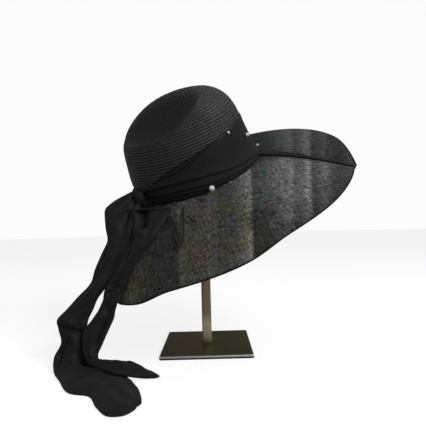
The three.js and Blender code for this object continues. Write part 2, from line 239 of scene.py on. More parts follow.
def shell(name: str, front: np.ndarray, places: np.ndarray, thick: float,
          wrap: bool = False) -> bpy.types.Object:
    """A closed wall: the front surface, the same surface moved back along its normals, and edge strips.

    Args:
        name: The piece's name.
        front: The front surface in millimetres, rows by columns by 3, with its normals facing out.
        places: UV places, with one more column where the surface wraps.
        thick: The wall's thickness in millimetres.
        wrap: Whether the last column meets the first.

    Returns:
        The object.
    """
    rows, columns = front.shape[:2]
    back = front - surface_normals(front, wrap) * thick
    count = rows * columns
    faces = [grid_faces(places, columns, wrap), grid_faces(places, columns, wrap, True).shifted(count)]
    index = np.arange(count).reshape(rows, columns)
    borders = [index[0], index[-1][::-1]]
    rims = [places[0], places[-1][::-1]]
    if not wrap:
        borders += [index[::-1, 0], index[:, -1]]
        rims += [places[::-1, 0], places[:, -1]]
    for border, rim in zip(borders, rims):
        ahead = np.roll(border, -1) if wrap else border[1:]
        here = border if wrap else border[:-1]
        steps = len(here)
        corners = np.stack([ahead, here, here + count, ahead + count], -1)
        strip = np.stack([rim[1:steps + 1], rim[:steps], rim[:steps], rim[1:steps + 1]], 1)
        faces.append(Faces(corners, strip))
    return make_mesh(name, np.concatenate([front.reshape(-1, 3), back.reshape(-1, 3)]), faces)


def paint_shade(piece: bpy.types.Object, amount: np.ndarray) -> None:
    """Stores the painted shade at each point, from 0 to 1, in the dark attribute; a closed wall's back is as
    its front.

    Args:
        piece: The piece.
        amount: A value for each point of the piece, or for each point of its front.
    """
    values = np.clip(amount, 0, 1).astype(np.float32).ravel()
    repeats = len(piece.data.vertices) // len(values)
    piece.data.attributes.new("dark", "FLOAT", "POINT").data.foreach_set("value", np.tile(values, repeats))


def tube(name: str, rings: np.ndarray, places: np.ndarray, loop: bool) -> bpy.types.Object:
    """A closed round body through rings of points, shut by a fan of faces at each end.

    Args:
        name: The piece's name.
        rings: Points in millimetres, rings by sides by 3.
        places: UV places, with one more column than the rings have sides.
        loop: Whether the last ring meets the first, in place of the fans.

    Returns:
        The object.
    """
    count, sides = rings.shape[:2]
    points = rings.reshape(-1, 3)
    if loop:
        quads = grid_faces(places, sides, True)
        return make_mesh(name, points, [Faces(quads.corners % len(points), quads.places)])
    ends = np.stack([rings[0].mean(0), rings[-1].mean(0)])
    side = np.arange(sides)
    after = (side + 1) % sides
    total = len(points)
    first = np.stack([after, side, np.full(sides, total)], -1)
    last = np.stack([side, after, np.full(sides, total + 1)], -1)
    last[:, :2] += (count - 1) * sides
    caps = Faces(np.concatenate([first, last]), np.zeros((2 * sides, 3, 2)))
    return make_mesh(name, np.concatenate([points, ends]), [grid_faces(places, sides, True), caps])


@dataclass(frozen=True)
class HatFrame:
    """The hat's own axes, in the model's frame: Z up through the crown, X to the front, Y to the far side."""

    origin: tuple[float, float, float] = (-8.4, 18.6, 265.1)
    lean: float = 20.4
    tilt: float = 27.5

    def axes(self) -> np.ndarray:
        """The hat's axes.

        Returns:
            The front, far and up axes, one a row.
        """
        lean, tilt = math.radians(self.lean), math.radians(self.tilt)
        up = np.array([-math.sin(lean) * math.cos(tilt), -math.sin(tilt), math.cos(lean) * math.cos(tilt)])
        front = unit(np.array([1.0, 0, 0]) - up[0] * up)
        return np.stack([front, np.cross(up, front), up])

    def world(self, points: np.ndarray) -> np.ndarray:
        """Points of the hat's frame, moved into the model's frame, both in millimetres."""
        return points @ self.axes() + np.array(self.origin)


class Shader:
    """A material with one Principled shader, and short calls to wire nodes into it."""

    def __init__(self, name: str, **sockets: float | tuple) -> None:
        """Starts a material and sets the shader's even values.

        Args:
            name: The material's name.
            sockets: Values for the shader's sockets, with _ for each space in a socket's name.
        """
        self.material = bpy.data.materials.new(name)
        self.material.use_nodes = True
        self.tree = self.material.node_tree
        self.surface = self.tree.nodes["Principled BSDF"]
        for socket, value in sockets.items():
            self.surface.inputs[socket.replace("_", " ")].default_value = value

    def node(self, kind: str, **settings: object) -> bpy.types.Node:
        """Adds a node.

        Args:
            kind: Its kind, such as TexNoise.
            settings: Its properties.

        Returns:
            The node.
        """
        made = self.tree.nodes.new("ShaderNode" + kind)
        for key, value in settings.items():
            setattr(made, key, value)
        return made

    def feed(self, socket: bpy.types.NodeSocket, value: object) -> None:
        """Links a socket or sets its value.

        Args:
            socket: The input.
            value: An output to link it to, or a plain value.
        """
        if isinstance(value, bpy.types.NodeSocket):
            self.tree.links.new(value, socket)
        else:
            socket.default_value = value

    def math(self, operation: str, *values: object) -> bpy.types.NodeSocket:
        """Adds a Math node.

        Args:
            operation: What it works out.
            values: Its sockets and numbers.

        Returns:
            Its result.
        """
        made = self.node("Math", operation=operation)
        for socket, value in zip(made.inputs, values):
            self.feed(socket, value)
        return made.outputs[0]

    def times(self, a: object, b: object) -> bpy.types.NodeSocket:
        """The product of two values."""
        return self.math("MULTIPLY", a, b)

    def line(self, value: object, slope: float, start: float) -> bpy.types.NodeSocket:
        """The value times a slope, plus a start."""
        return self.math("MULTIPLY_ADD", value, slope, start)

    def between(self, value: object, low: float, high: float) -> bpy.types.NodeSocket:
        """1 where the value lies between two limits, and else 0."""
        return self.times(self.math("GREATER_THAN", value, low), self.math("LESS_THAN", value, high))

    def place(self) -> bpy.types.NodeSocket:
        """The Object coordinates, in metres."""
        return self.node("TexCoord").outputs["Object"]

    def parts(self, vector: bpy.types.NodeSocket) -> list[bpy.types.NodeSocket]:
        """The three parts of a vector.

        Args:
            vector: The vector.

        Returns:
            Its X, Y and Z.
        """
        split = self.node("SeparateXYZ")
        self.feed(split.inputs[0], vector)
        return list(split.outputs)

    def map_parts(self) -> list[bpy.types.NodeSocket]:
        """The two parts of the piece's UV map."""
        return self.parts(self.node("UVMap", uv_map="UVMap").outputs[0])[:2]

    def stretched(self, scale: tuple[float, float, float]) -> bpy.types.NodeSocket:
        """The Object coordinates, scaled by a Mapping node.

        Args:
            scale: The factor along each axis.

        Returns:
            The scaled vector.
        """
        made = self.node("Mapping")
        self.feed(made.inputs["Vector"], self.place())
        made.inputs["Scale"].default_value = scale
        return made.outputs[0]

    def noise(self, vector: bpy.types.NodeSocket, scale: float, detail: float = 2.0,
              rough: float = 0.5) -> bpy.types.NodeSocket:
        """Adds a noise texture.

        Args:
            vector: Where it is read.
            scale: How fine it is.
            detail: How many octaves it has.
            rough: How strong the fine ones are.

        Returns:
            Its factor.
        """
        made = self.node("TexNoise")
        for socket, value in (("Vector", vector), ("Scale", scale), ("Detail", detail), ("Roughness", rough)):
            self.feed(made.inputs[socket], value)
        return made.outputs["Fac"]

    def streaks(self, along: float, across: float, rough: float = 0.5) -> bpy.types.NodeSocket:
        """A noise on the UV map, drawn out along one of its parts.

        Args:
            along: How fine it is along U.
            across: How fine it is along V.
            rough: How strong the fine octaves are.

        Returns:
            Its factor.
        """
        joined = self.node("CombineXYZ")
        for socket, part, scale in zip(joined.inputs, self.map_parts(), (along, across)):
            self.feed(socket, self.times(part, scale))
        return self.noise(joined.outputs[0], 1.0, 3.0, rough)

    def ramp(self, factor: bpy.types.NodeSocket, *stops: tuple[float, tuple]) -> bpy.types.NodeSocket:
        """A colour that runs through stops.

        Args:
            factor: Where on the ramp it is read.
            stops: Each stop's place and colour, rising.

        Returns:
            The colour.
        """
        made = self.node("ValToRGB")
        self.feed(made.inputs[0], factor)
        band = made.color_ramp.elements
        while len(band) < len(stops):
            band.new(1.0)
        for element, (at, colour) in zip(band, stops):
            element.position = at
            element.color = (*colour, 1.0)
        return made.outputs[0]

    def mix(self, factor: object, a: object, b: object) -> bpy.types.NodeSocket:
        """A colour between two.

        Args:
            factor: 0 for the first, 1 for the second.
            a: The first colour.
            b: The second.

        Returns:
            The colour.
        """
        made = self.node("Mix", data_type="RGBA")
        for socket, value in zip((made.inputs[0], made.inputs[6], made.inputs[7]), (factor, a, b)):
            self.feed(socket, (*value, 1.0) if isinstance(value, tuple) else value)
        return made.outputs[2]

    def scaled(self, colour: bpy.types.NodeSocket, factor: bpy.types.NodeSocket) -> bpy.types.NodeSocket:
        """A colour times a number.

        Args:
            colour: The colour.
            factor: The number.

        Returns:
            The product.
        """
        made = self.node("VectorMath", operation="SCALE")
        self.feed(made.inputs[0], colour)
        self.feed(made.inputs["Scale"], factor)
        return made.outputs[0]

    def lit(self, colour: bpy.types.NodeSocket) -> bpy.types.NodeSocket:
        """The colour, less by the painted shade in the piece's dark attribute."""
        share = self.node("Attribute", attribute_name="dark").outputs["Fac"]
        return self.scaled(colour, self.line(share, -1.0, 1.0))

    def paint(self, colour: bpy.types.NodeSocket, roughness: bpy.types.NodeSocket) -> None:
        """Feeds the shader's colour and roughness."""
        self.feed(self.surface.inputs["Base Color"], colour)
        self.feed(self.surface.inputs["Roughness"], roughness)

    def relief(self, height: bpy.types.NodeSocket, depth: float, strength: float = 1.0) -> None:
        """Bumps the surface, over any bump that it has.

        Args:
            height: The height, from 0 to 1.
            depth: How deep that is, in metres.
            strength: How much of it shows.
        """
        made = self.node("Bump")
        made.inputs["Strength"].default_value = strength
        made.inputs["Distance"].default_value = depth
        self.feed(made.inputs["Height"], height)
        under = self.surface.inputs["Normal"].links
        if under:
            self.feed(made.inputs["Normal"], under[0].from_socket)
        self.feed(self.surface.inputs["Normal"], made.outputs[0])


@dataclass(frozen=True)
class StrawBraid:
    """Fine black straw braid in sewn rows: strands that slant both ways from the middle of a row."""

    strand: float = 0.0026
    dark: tuple = (0.007, 0.007, 0.007)
    light: tuple = (0.075, 0.075, 0.077)

    def build(self) -> bpy.types.Material:
        """Wires the finish. U is metres along the row, and V counts rows.

        Returns:
            The material.
        """
        s = Shader(Slot.STRAW.value, Specular_IOR_Level=0.34, IOR=1.5)
        u, v = s.map_parts()
        aside = s.times(s.math("ABSOLUTE", s.math("SUBTRACT", s.math("FRACT", v), 0.5)), 2.0)
        slant = s.math("ADD", s.times(u, 1 / self.strand), aside)
        strand = s.math("ABSOLUTE", s.math("SINE", s.times(slant, math.pi)))
        row = s.math("SUBTRACT", 1.0, s.math("POWER", aside, 5.0))
        height = s.times(strand, row)
        # Painted highlight and shade: the colour follows the strands' height, light on raised strands and
        # dark in the hollows between them, varied by streaks.
        tone = s.times(height, s.line(s.streaks(330.0, 1.7, 0.6), 2.4, -0.35))
        s.paint(s.lit(s.ramp(tone, (0.1, self.dark), (0.85, self.light))), s.line(tone, -0.26, 0.62))
        s.relief(height, 0.0005, 0.7)
        s.relief(s.noise(s.place(), 900.0), 0.00015, 0.5)
        return s.material


@dataclass(frozen=True)
class SinamayThread:
    """Stiffened black hemp thread, faintly coloured in patches; its shade attribute also carries painted
    light, lighter bands that stand for backdrop light seen through the open weave.
    """

    dim: float = -0.3
    bright: float = 2.8
    least: float = 0.08

    def build(self) -> bpy.types.Material:
        """Wires the finish. The shade attribute is its colour, U is metres along a thread, V counts threads.

        Returns:
            The material.
        """
        s = Shader(Slot.SINAMAY.value, Specular_IOR_Level=0.18, IOR=1.5)
        uneven = s.streaks(330.0, 7.3, 0.65)
        shade = s.node("Attribute", attribute_name="shade").outputs["Color"]
        factor = s.math("MAXIMUM", s.line(uneven, self.bright, self.dim), self.least)
        s.paint(s.scaled(shade, factor), s.line(uneven, -0.25, 0.72))
        s.relief(s.noise(s.place(), 1500.0), 0.0001, 0.6)
        return s.material


@dataclass(frozen=True)
class BoundEdge:
    """Black thread wound closely over the edge wire."""

    winding: float = 0.0011
    slant: float = 0.0006
    dark: tuple = (0.003, 0.003, 0.003)
    light: tuple = (0.014, 0.014, 0.015)

    def build(self) -> bpy.types.Material:
        """Wires the finish. U is metres along the edge, and V goes once round the wire.

        Returns:
            The material.
        """
        s = Shader(Slot.EDGE.value, Specular_IOR_Level=0.25)
        u, v = s.map_parts()
        slanted = s.math("ADD", u, s.times(v, self.slant))
        height = s.line(s.math("SINE", s.times(slanted, TURN / self.winding)), 0.5, 0.5)
        s.paint(s.ramp(height, (0.1, self.dark), (0.9, self.light)), s.line(height, -0.2, 0.75))
        s.relief(height, 0.0002, 0.8)
        return s.material


@dataclass(frozen=True)
class Silk:
    """Matt black silk: a fine plain weave with slight slubs."""

    yarn: float = 0.0009
    dark: tuple = (0.0066, 0.0066, 0.0068)
    light: tuple = (0.0165, 0.0165, 0.017)

    def build(self) -> bpy.types.Material:
        """Wires the finish. U and V are metres across and along the cloth.

        Returns:
            The material.
        """
        s = Shader(Slot.SILK.value, Specular_IOR_Level=0.22, Sheen_Weight=0.06, Sheen_Roughness=0.45)
        weft, warp = (s.math("SINE", s.times(part, TURN / self.yarn)) for part in s.map_parts())
        slub = s.streaks(700.0, 60.0, 0.6)
        cloud = s.noise(s.place(), 30.0, 3.0)
        tone = s.math("ADD", s.times(slub, 0.6), s.times(cloud, 0.4))
        s.paint(s.lit(s.ramp(tone, (0.3, self.dark), (0.7, self.light))), s.line(slub, 0.2, 0.55))
        s.relief(s.line(s.times(weft, warp), 0.5, 0.5), 0.0001, 0.35)
        s.relief(slub, 0.0002, 0.35)
        s.relief(s.noise(s.place(), 55.0, 4.0, 0.55), 0.004, 0.3)
        return s.material


@dataclass(frozen=True)
class BrushedSteel:
    """Dark brushed steel: brown and faintly green on the plate, with a painted highlight at its edge, warm on
    the post.
    """

    left: tuple = (0.07, 0.072, 0.058)
    # The brown middle band is partly a painted reflection of the warm post.
    brown: tuple = (0.125, 0.09, 0.068)
    green: tuple = (0.056, 0.076, 0.038)
    right: tuple = (0.084, 0.096, 0.062)
    # The colour of the painted highlight along the plate's top edge.
    edge: tuple = (1.0, 0.99, 0.96)
    groove: tuple = (0.02, 0.019, 0.015)
    rim: tuple = (0.78, 0.74, 0.6, 1.0)
    post: tuple = (0.42, 0.355, 0.235)
    foot: tuple = (1.0, 0.88, 0.62)
    half: float = 0.065
    top: float = 0.0052
    highlight_band: float = 0.0027

    def build(self) -> bpy.types.Material:
        """Wires the finish, on Object coordinates.

        Returns:
            The material.
        """
        s = Shader(Slot.STEEL.value, Metallic=1.0, Specular_Tint=self.rim)
        streak = s.noise(s.stretched((9.0, 900.0, 900.0)), 1.0, 4.0, 0.6)
        stain = s.noise(s.place(), 26.0, 3.0)
        x, _, height = s.parts(s.place())
        across = s.math("ADD", s.line(x, 0.5 / self.half, 0.5), s.line(stain, 0.5, -0.25))
        plate = s.ramp(across, (0.05, self.left), (0.42, self.brown), (0.64, self.green), (1.0, self.right))
        # Painted highlight: a near-white band just below the plate's top.
        edge_highlight = s.between(height, self.top - self.highlight_band, self.top - 0.00001)
        on_post = s.between(height, self.top + 0.0001, 0.5)
        upright = s.ramp(s.times(height, 10.0), (0.06, self.post), (0.14, self.foot),
                         (0.34, self.foot), (0.5, self.post))
        colour = s.mix(on_post, s.mix(edge_highlight, plate, self.edge), upright)
        s.paint(s.mix(s.line(streak, 0.5, 0.65), self.groove, colour), s.line(streak, 0.2, 0.28))
        s.relief(streak, 0.00005, 0.5)
        return s.material


@dataclass(frozen=True)
class PaintedCap:
    """Matt black paint with a fine orange-peel."""

    dark: tuple = (0.012, 0.012, 0.011)
    light: tuple = (0.024, 0.023, 0.021)

    def build(self) -> bpy.types.Material:
        """Wires the finish, on Object coordinates.

        Returns:
            The material.
        """
        s = Shader(Slot.CAP.value, Specular_IOR_Level=0.3)
        grain = s.noise(s.place(), 420.0, 3.0)
        s.paint(s.ramp(grain, (0.3, self.dark), (0.7, self.light)), s.line(grain, 0.2, 0.5))
        s.relief(grain, 0.0002, 0.4)
        return s.material


@dataclass(frozen=True)
class PearlCoat:
    """A glossy white pearl coat, faintly uneven."""

    dark: tuple = (0.84, 0.83, 0.82)
    light: tuple = (0.95, 0.95, 0.95)
    scatter: tuple = (0.002, 0.0018, 0.0016)

    def build(self) -> bpy.types.Material:
        """Wires the finish, on Object coordinates.

        Returns:
            The material.
        """
        s = Shader(Slot.PEARL.value, Coat_Weight=0.6, Coat_Roughness=0.08, Specular_IOR_Level=0.6,
                   Subsurface_Weight=0.15, Subsurface_Radius=self.scatter)
        cloud = s.noise(s.place(), 260.0)
        s.paint(s.ramp(cloud, (0.3, self.dark), (0.7, self.light)), s.line(cloud, 0.12, 0.16))
        return s.material


@dataclass(frozen=True)
class QuillHorn:
    """Black horn with fine lines along it."""

    dark: tuple = (0.003, 0.003, 0.003)
    light: tuple = (0.012, 0.011, 0.010)

    def build(self) -> bpy.types.Material:
        """Wires the finish. U runs along the quill and V round it.

        Returns:
            The material.
        """
        s = Shader(Slot.QUILL.value, Specular_IOR_Level=0.4)
        line = s.streaks(40.0, 14.0)
        s.paint(s.ramp(line, (0.3, self.dark), (0.7, self.light)), s.line(line, 0.25, 0.35))
        s.relief(line, 0.0001, 0.5)
        return s.material


def dress(piece: bpy.types.Object, slot: Slot, material: bpy.types.Material, *nodes: str) -> bpy.types.Object:
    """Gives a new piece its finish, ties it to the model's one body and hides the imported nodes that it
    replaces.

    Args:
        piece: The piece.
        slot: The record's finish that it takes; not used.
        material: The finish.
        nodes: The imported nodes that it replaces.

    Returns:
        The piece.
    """
    piece.data.materials.append(material)
    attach(piece, "root")
    if nodes:
        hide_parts(*nodes)
    LOG.info("%s: %d faces", piece.name, len(piece.data.polygons))
    return piece


@dataclass
class Crown:
    """The sewn straw crown: an oval dome with its top pressed into a tilted dish, in one long row of braid.

    A section has its height, the oval's half length there and the shift of its middle to the front.
    """

    hat: HatFrame
    height: float = 130.0
    narrow: float = 0.86
    wall: float = 1.6
    row: float = 4.1
    proud: float = 0.8
    # Painted shade: how much darker the deepest part of the pressed dish is painted.
    painted_dish_shade: float = 0.72
    around: int = 288
    samples: int = 5
    inner_rows: int = 24
    eye: float = 40.0
    heart: tuple[float, float] = (-16.0, -19.0)
    heart_climb: float = 0.62
    dish_middle: tuple[float, float, float] = (-14.0, -24.0, 93.0)
    dish_slope: tuple[float, float] = (0.387, 0.456)
    dish_bend: tuple[float, float] = (0.00157, 0.0071)
    dish_floor: float = 87.0
    dish_round: float = 8.0
    sections: np.ndarray = field(
        default_factory=lambda: np.array([
            (0, 100, 0), (26, 98, -3), (52, 94.5, -2.5), (78, 90, -1),
            (97.5, 82, 1), (113, 67, 4), (123.5, 46.5, 6), (130, 0, 6),
        ], float)
    )

    def profile(self, climb: np.ndarray) -> tuple[np.ndarray, np.ndarray]:
        """The oval's half length and shift, where climb is the root of the share of height still to go."""
        keyed = np.column_stack([-np.sqrt(1 - self.sections[:, 0] / self.height), self.sections])
        return through(keyed, 0, 2, -climb), through(keyed, 0, 3, -climb)

    def dish(self, x: np.ndarray, y: np.ndarray) -> np.ndarray:
        """The height of the pressed dish: a tilted bowl, no lower than its level floor.

        Args:
            x: Places in the hat's plan.
            y: The same.

        Returns:
            The heights.
        """
        u, v = x - self.dish_middle[0], y - self.dish_middle[1]
        tilted = self.dish_middle[2] + self.dish_slope[0] * u + self.dish_slope[1] * v
        bowl = tilted + self.dish_bend[0] * u**2 + self.dish_bend[1] * v**2
        return -smooth_min(-bowl, np.full_like(bowl, -self.dish_floor), self.dish_round)

    def dome(self, x: np.ndarray, y: np.ndarray) -> np.ndarray:
        """The undented height, by halving the range of climbs until the oval that holds a point is found.

        Args:
            x: Places in the hat's plan.
            y: The same.

        Returns:
            The heights.
        """
        low, high = np.zeros_like(x), np.ones_like(x)
        for _ in range(32):
            middle = (low + high) / 2
            half, shift = self.profile(middle)
            outside = ((x - shift) / half) ** 2 + (y / (self.narrow * half)) ** 2 > 1
            low, high = np.where(outside, middle, low), np.where(outside, high, middle)
        return self.height * (1 - high**2)

    def surface(self, angle: np.ndarray, climb: np.ndarray) -> np.ndarray:
        """The wall or top. The ovals' middles move over to the braid's heart towards the top.

        Args:
            angle: Directions round the hat.
            climb: Roots of the share of height still to go.

        Returns:
            Points in the hat's frame.
        """
        half, shift = self.profile(climb)
        pull = np.clip(1 - climb / self.heart_climb, 0, None) ** 2
        tip = self.profile(np.zeros(1))[1][0]
        x = shift + pull * (self.heart[0] - tip) + half * np.cos(angle)
        y = pull * self.heart[1] + self.narrow * half * np.sin(angle)
        over = np.where(pull > 0, self.dome(x, y), self.height * (1 - climb**2))
        return np.stack([x, y, smooth_min(over, self.dish(x, y), self.dish_round)], -1)

    def wall_point(self, angle: np.ndarray, height: np.ndarray, out: np.ndarray) -> np.ndarray:
        """A point over the wall, below the dish, moved straight out from the hat's axis.

        Args:
            angle: Its direction round the hat.
            height: Its height over the rim.
            out: How far it is moved.

        Returns:
            The point in the hat's frame.
        """
        half, shift = self.profile(np.sqrt(1 - height / self.height))
        x, y = shift + (half + out) * np.cos(angle), (self.narrow * half + out) * np.sin(angle)
        return np.stack([x, y, height + 0 * x], -1)

    def outward(self, angle: float) -> np.ndarray:
        """The level direction away from the wall at an angle."""
        return unit(np.array([self.narrow * math.cos(angle), math.sin(angle), 0.0]))

    def facing_out(self, normals: np.ndarray, points: np.ndarray) -> np.ndarray:
        """Normals turned to look away from a point in the hollow.

        Args:
            normals: A grid of normals.
            points: Where they stand.

        Returns:
            The normals.
        """
        away = points - np.array([0, 0, self.eye])
        return normals * np.sign(np.einsum("rci,rci->rc", normals, away))[..., None]

    def climb_at(self) -> tuple[np.ndarray, np.ndarray]:
        """Climbs, and the mean length along the crown from its heart to each."""
        climbs = np.linspace(0.0005, 1, 400)
        lines = self.surface(*np.meshgrid(circle(24), climbs, indexing="ij"))
        steps = np.linalg.norm(np.diff(lines, axis=1), axis=-1).mean(0)
        return climbs, np.concatenate([[0], np.cumsum(steps)])

    def build(self, finish: bpy.types.Material) -> bpy.types.Object:
        """The crown's wall. Its rows run in one spiral from the heart down to the rim, and stand proud.

        Args:
            finish: The straw braid.

        Returns:
            The crown.
        """
        climbs, lengths = self.climb_at()
        total = lengths[-1]
        turns = int(math.ceil(total / self.row))
        steps = (turns + 1) * self.samples + 1
        r, c = np.meshgrid(np.arange(steps) - self.samples, np.arange(self.around), indexing="ij")
        along = np.clip((r / self.samples + c / self.around) * self.row, 0, total)
        angle = c / self.around * TURN
        points = self.surface(angle, np.interp(along, lengths, climbs))
        share = (r % self.samples) / self.samples
        sunk = self.height * (1 - np.interp(along, lengths, climbs) ** 2) - points[..., 2]
        calm = 1 - 0.85 * smoothstep(sunk, 3, 16)
        lift = self.proud * calm * np.sin(math.pi * share) ** 0.45 * smoothstep(along, 0, self.row)
        wide = np.roll(points, -1, axis=1) - np.roll(points, 1, axis=1)
        wide[:, [0, -1]] = wide[:, [1, -2]]
        normals = self.facing_out(unit(np.cross(wide, np.gradient(points, axis=0))), points)
        outer = points + normals * lift[..., None]
        inside = np.linspace(0, 1, self.inner_rows)[:, None] * total
        ring = circle(self.around)[None, :]
        inner = self.surface(*np.broadcast_arrays(ring, np.interp(inside, lengths, climbs)))
        normal = self.facing_out(surface_normals(inner, True), inner)
        normal[0] = normal[1].mean(0)
        inner = inner - unit(normal) * self.wall
        # Painted shade: the straw is darkened in the pressed dish.
        return self.sew(outer, inner, self.painted_dish_shade * smoothstep(sunk, -1, 17), total, finish)

    def sew(self, outer: np.ndarray, inner: np.ndarray, dish_shade: np.ndarray, total: float,
            finish: bpy.types.Material) -> bpy.types.Object:
        """Joins the spiral grid, the inner wall and the rim into one closed body.

        Args:
            outer: The outer grid, whose last column meets the first one a row of braid further on.
            inner: The inner grid, from the middle of the top to the rim.
            dish_shade: The painted shade on the pressed dish at each point of the outer grid.
            total: The length from the heart to the rim.
            finish: The straw braid.

        Returns:
            The crown.
        """
        rows, columns = outer.shape[:2]
        a, c = np.meshgrid(np.arange(rows - 1), np.arange(columns), indexing="ij")
        over = c == columns - 1
        skip = np.where(over, self.samples, 0)
        d = np.where(over, 0, c + 1)
        b0, b1 = np.minimum(a + skip, rows - 1), np.minimum(a + 1 + skip, rows - 1)
        quads = np.stack([a * columns + c, b0 * columns + d, b1 * columns + d, (a + 1) * columns + c], -1)
        turn = np.floor_divide(a - self.samples, self.samples)
        places = []
        for da, dc in ((0, 0), (0, 1), (1, 1), (1, 0)):
            share = (a + da - self.samples) / self.samples - turn
            where = turn + (c + dc) / columns
            ring = np.clip(where * self.row, 0, None)
            length = (ring**2 / (2 * self.row)) * 3.0
            places.append(np.stack([length * MM, turn + share], -1))
        faces = [Faces(quads.reshape(-1, 4), np.stack(places, 2).reshape(-1, 4, 2))]
        start = rows * columns
        count = len(inner)
        grid = np.zeros((count, columns + 1, 2))
        grid[..., 0] = np.linspace(0, 0.55, columns + 1)[None]
        grid[..., 1] = np.linspace(0, total / self.row, count)[:, None]
        faces.append(grid_faces(grid, columns, True, True).shifted(start))
        low = (rows - 1) * columns + np.arange(columns)
        deep = start + (count - 1) * columns + np.arange(columns)
        rim = np.stack([low, np.roll(low, -1), np.roll(deep, -1), deep], -1)
        faces.append(Faces(rim, np.zeros((columns, 4, 2))))
        points = self.hat.world(np.concatenate([outer.reshape(-1, 3), inner.reshape(-1, 3)]))
        piece = make_mesh("straw_crown", points, faces, 70.0)
        paint_shade(piece, np.concatenate([dish_shade.ravel(), np.zeros(inner.size // 3)]))
        weld(piece)
        return dress(piece, Slot.STRAW, finish, "crown")


def weld(piece: bpy.types.Object, gap: float = 1e-6) -> None:
    """Merges points that coincide, as at a pole, and turns the faces outwards.

    Args:
        piece: The piece.
        gap: Points closer than this are one, in metres.
    """
    work = bmesh.new()
    work.from_mesh(piece.data)
    bmesh.ops.remove_doubles(work, verts=work.verts, dist=gap)
    bmesh.ops.dissolve_degenerate(work, edges=work.edges, dist=gap)
    bmesh.ops.recalc_face_normals(work, faces=work.faces)
    work.to_mesh(piece.data)
    work.free()


@dataclass(frozen=True)
class Stain:
    """A soft patch of colour on the flat cloth: its middle and reach in millimetres, and its tint."""

    middle: tuple[float, float]
    reach: tuple[float, float]
    tint: Tint

    def over(self, x: np.ndarray, y: np.ndarray, grain: np.ndarray) -> np.ndarray:
        """The colour factor: a bell, ragged at its border.

        Args:
            x: Places on the flat cloth.
            y: The same.
            grain: A scatter of about 1 for each place.

        Returns:
            A red, green and blue factor for each place.
        """
        ragged = 1 + 0.25 * np.sin(0.21 * x + 0.13 * y) + 0.25 * np.sin(0.17 * y - 0.29 * x + 1.7)
        far = ((x - self.middle[0]) / self.reach[0]) ** 2 + ((y - self.middle[1]) / self.reach[1]) ** 2
        return 1 + (np.exp(-far * ragged) * grain)[..., None] * (np.array(self.tint.value) - 1)


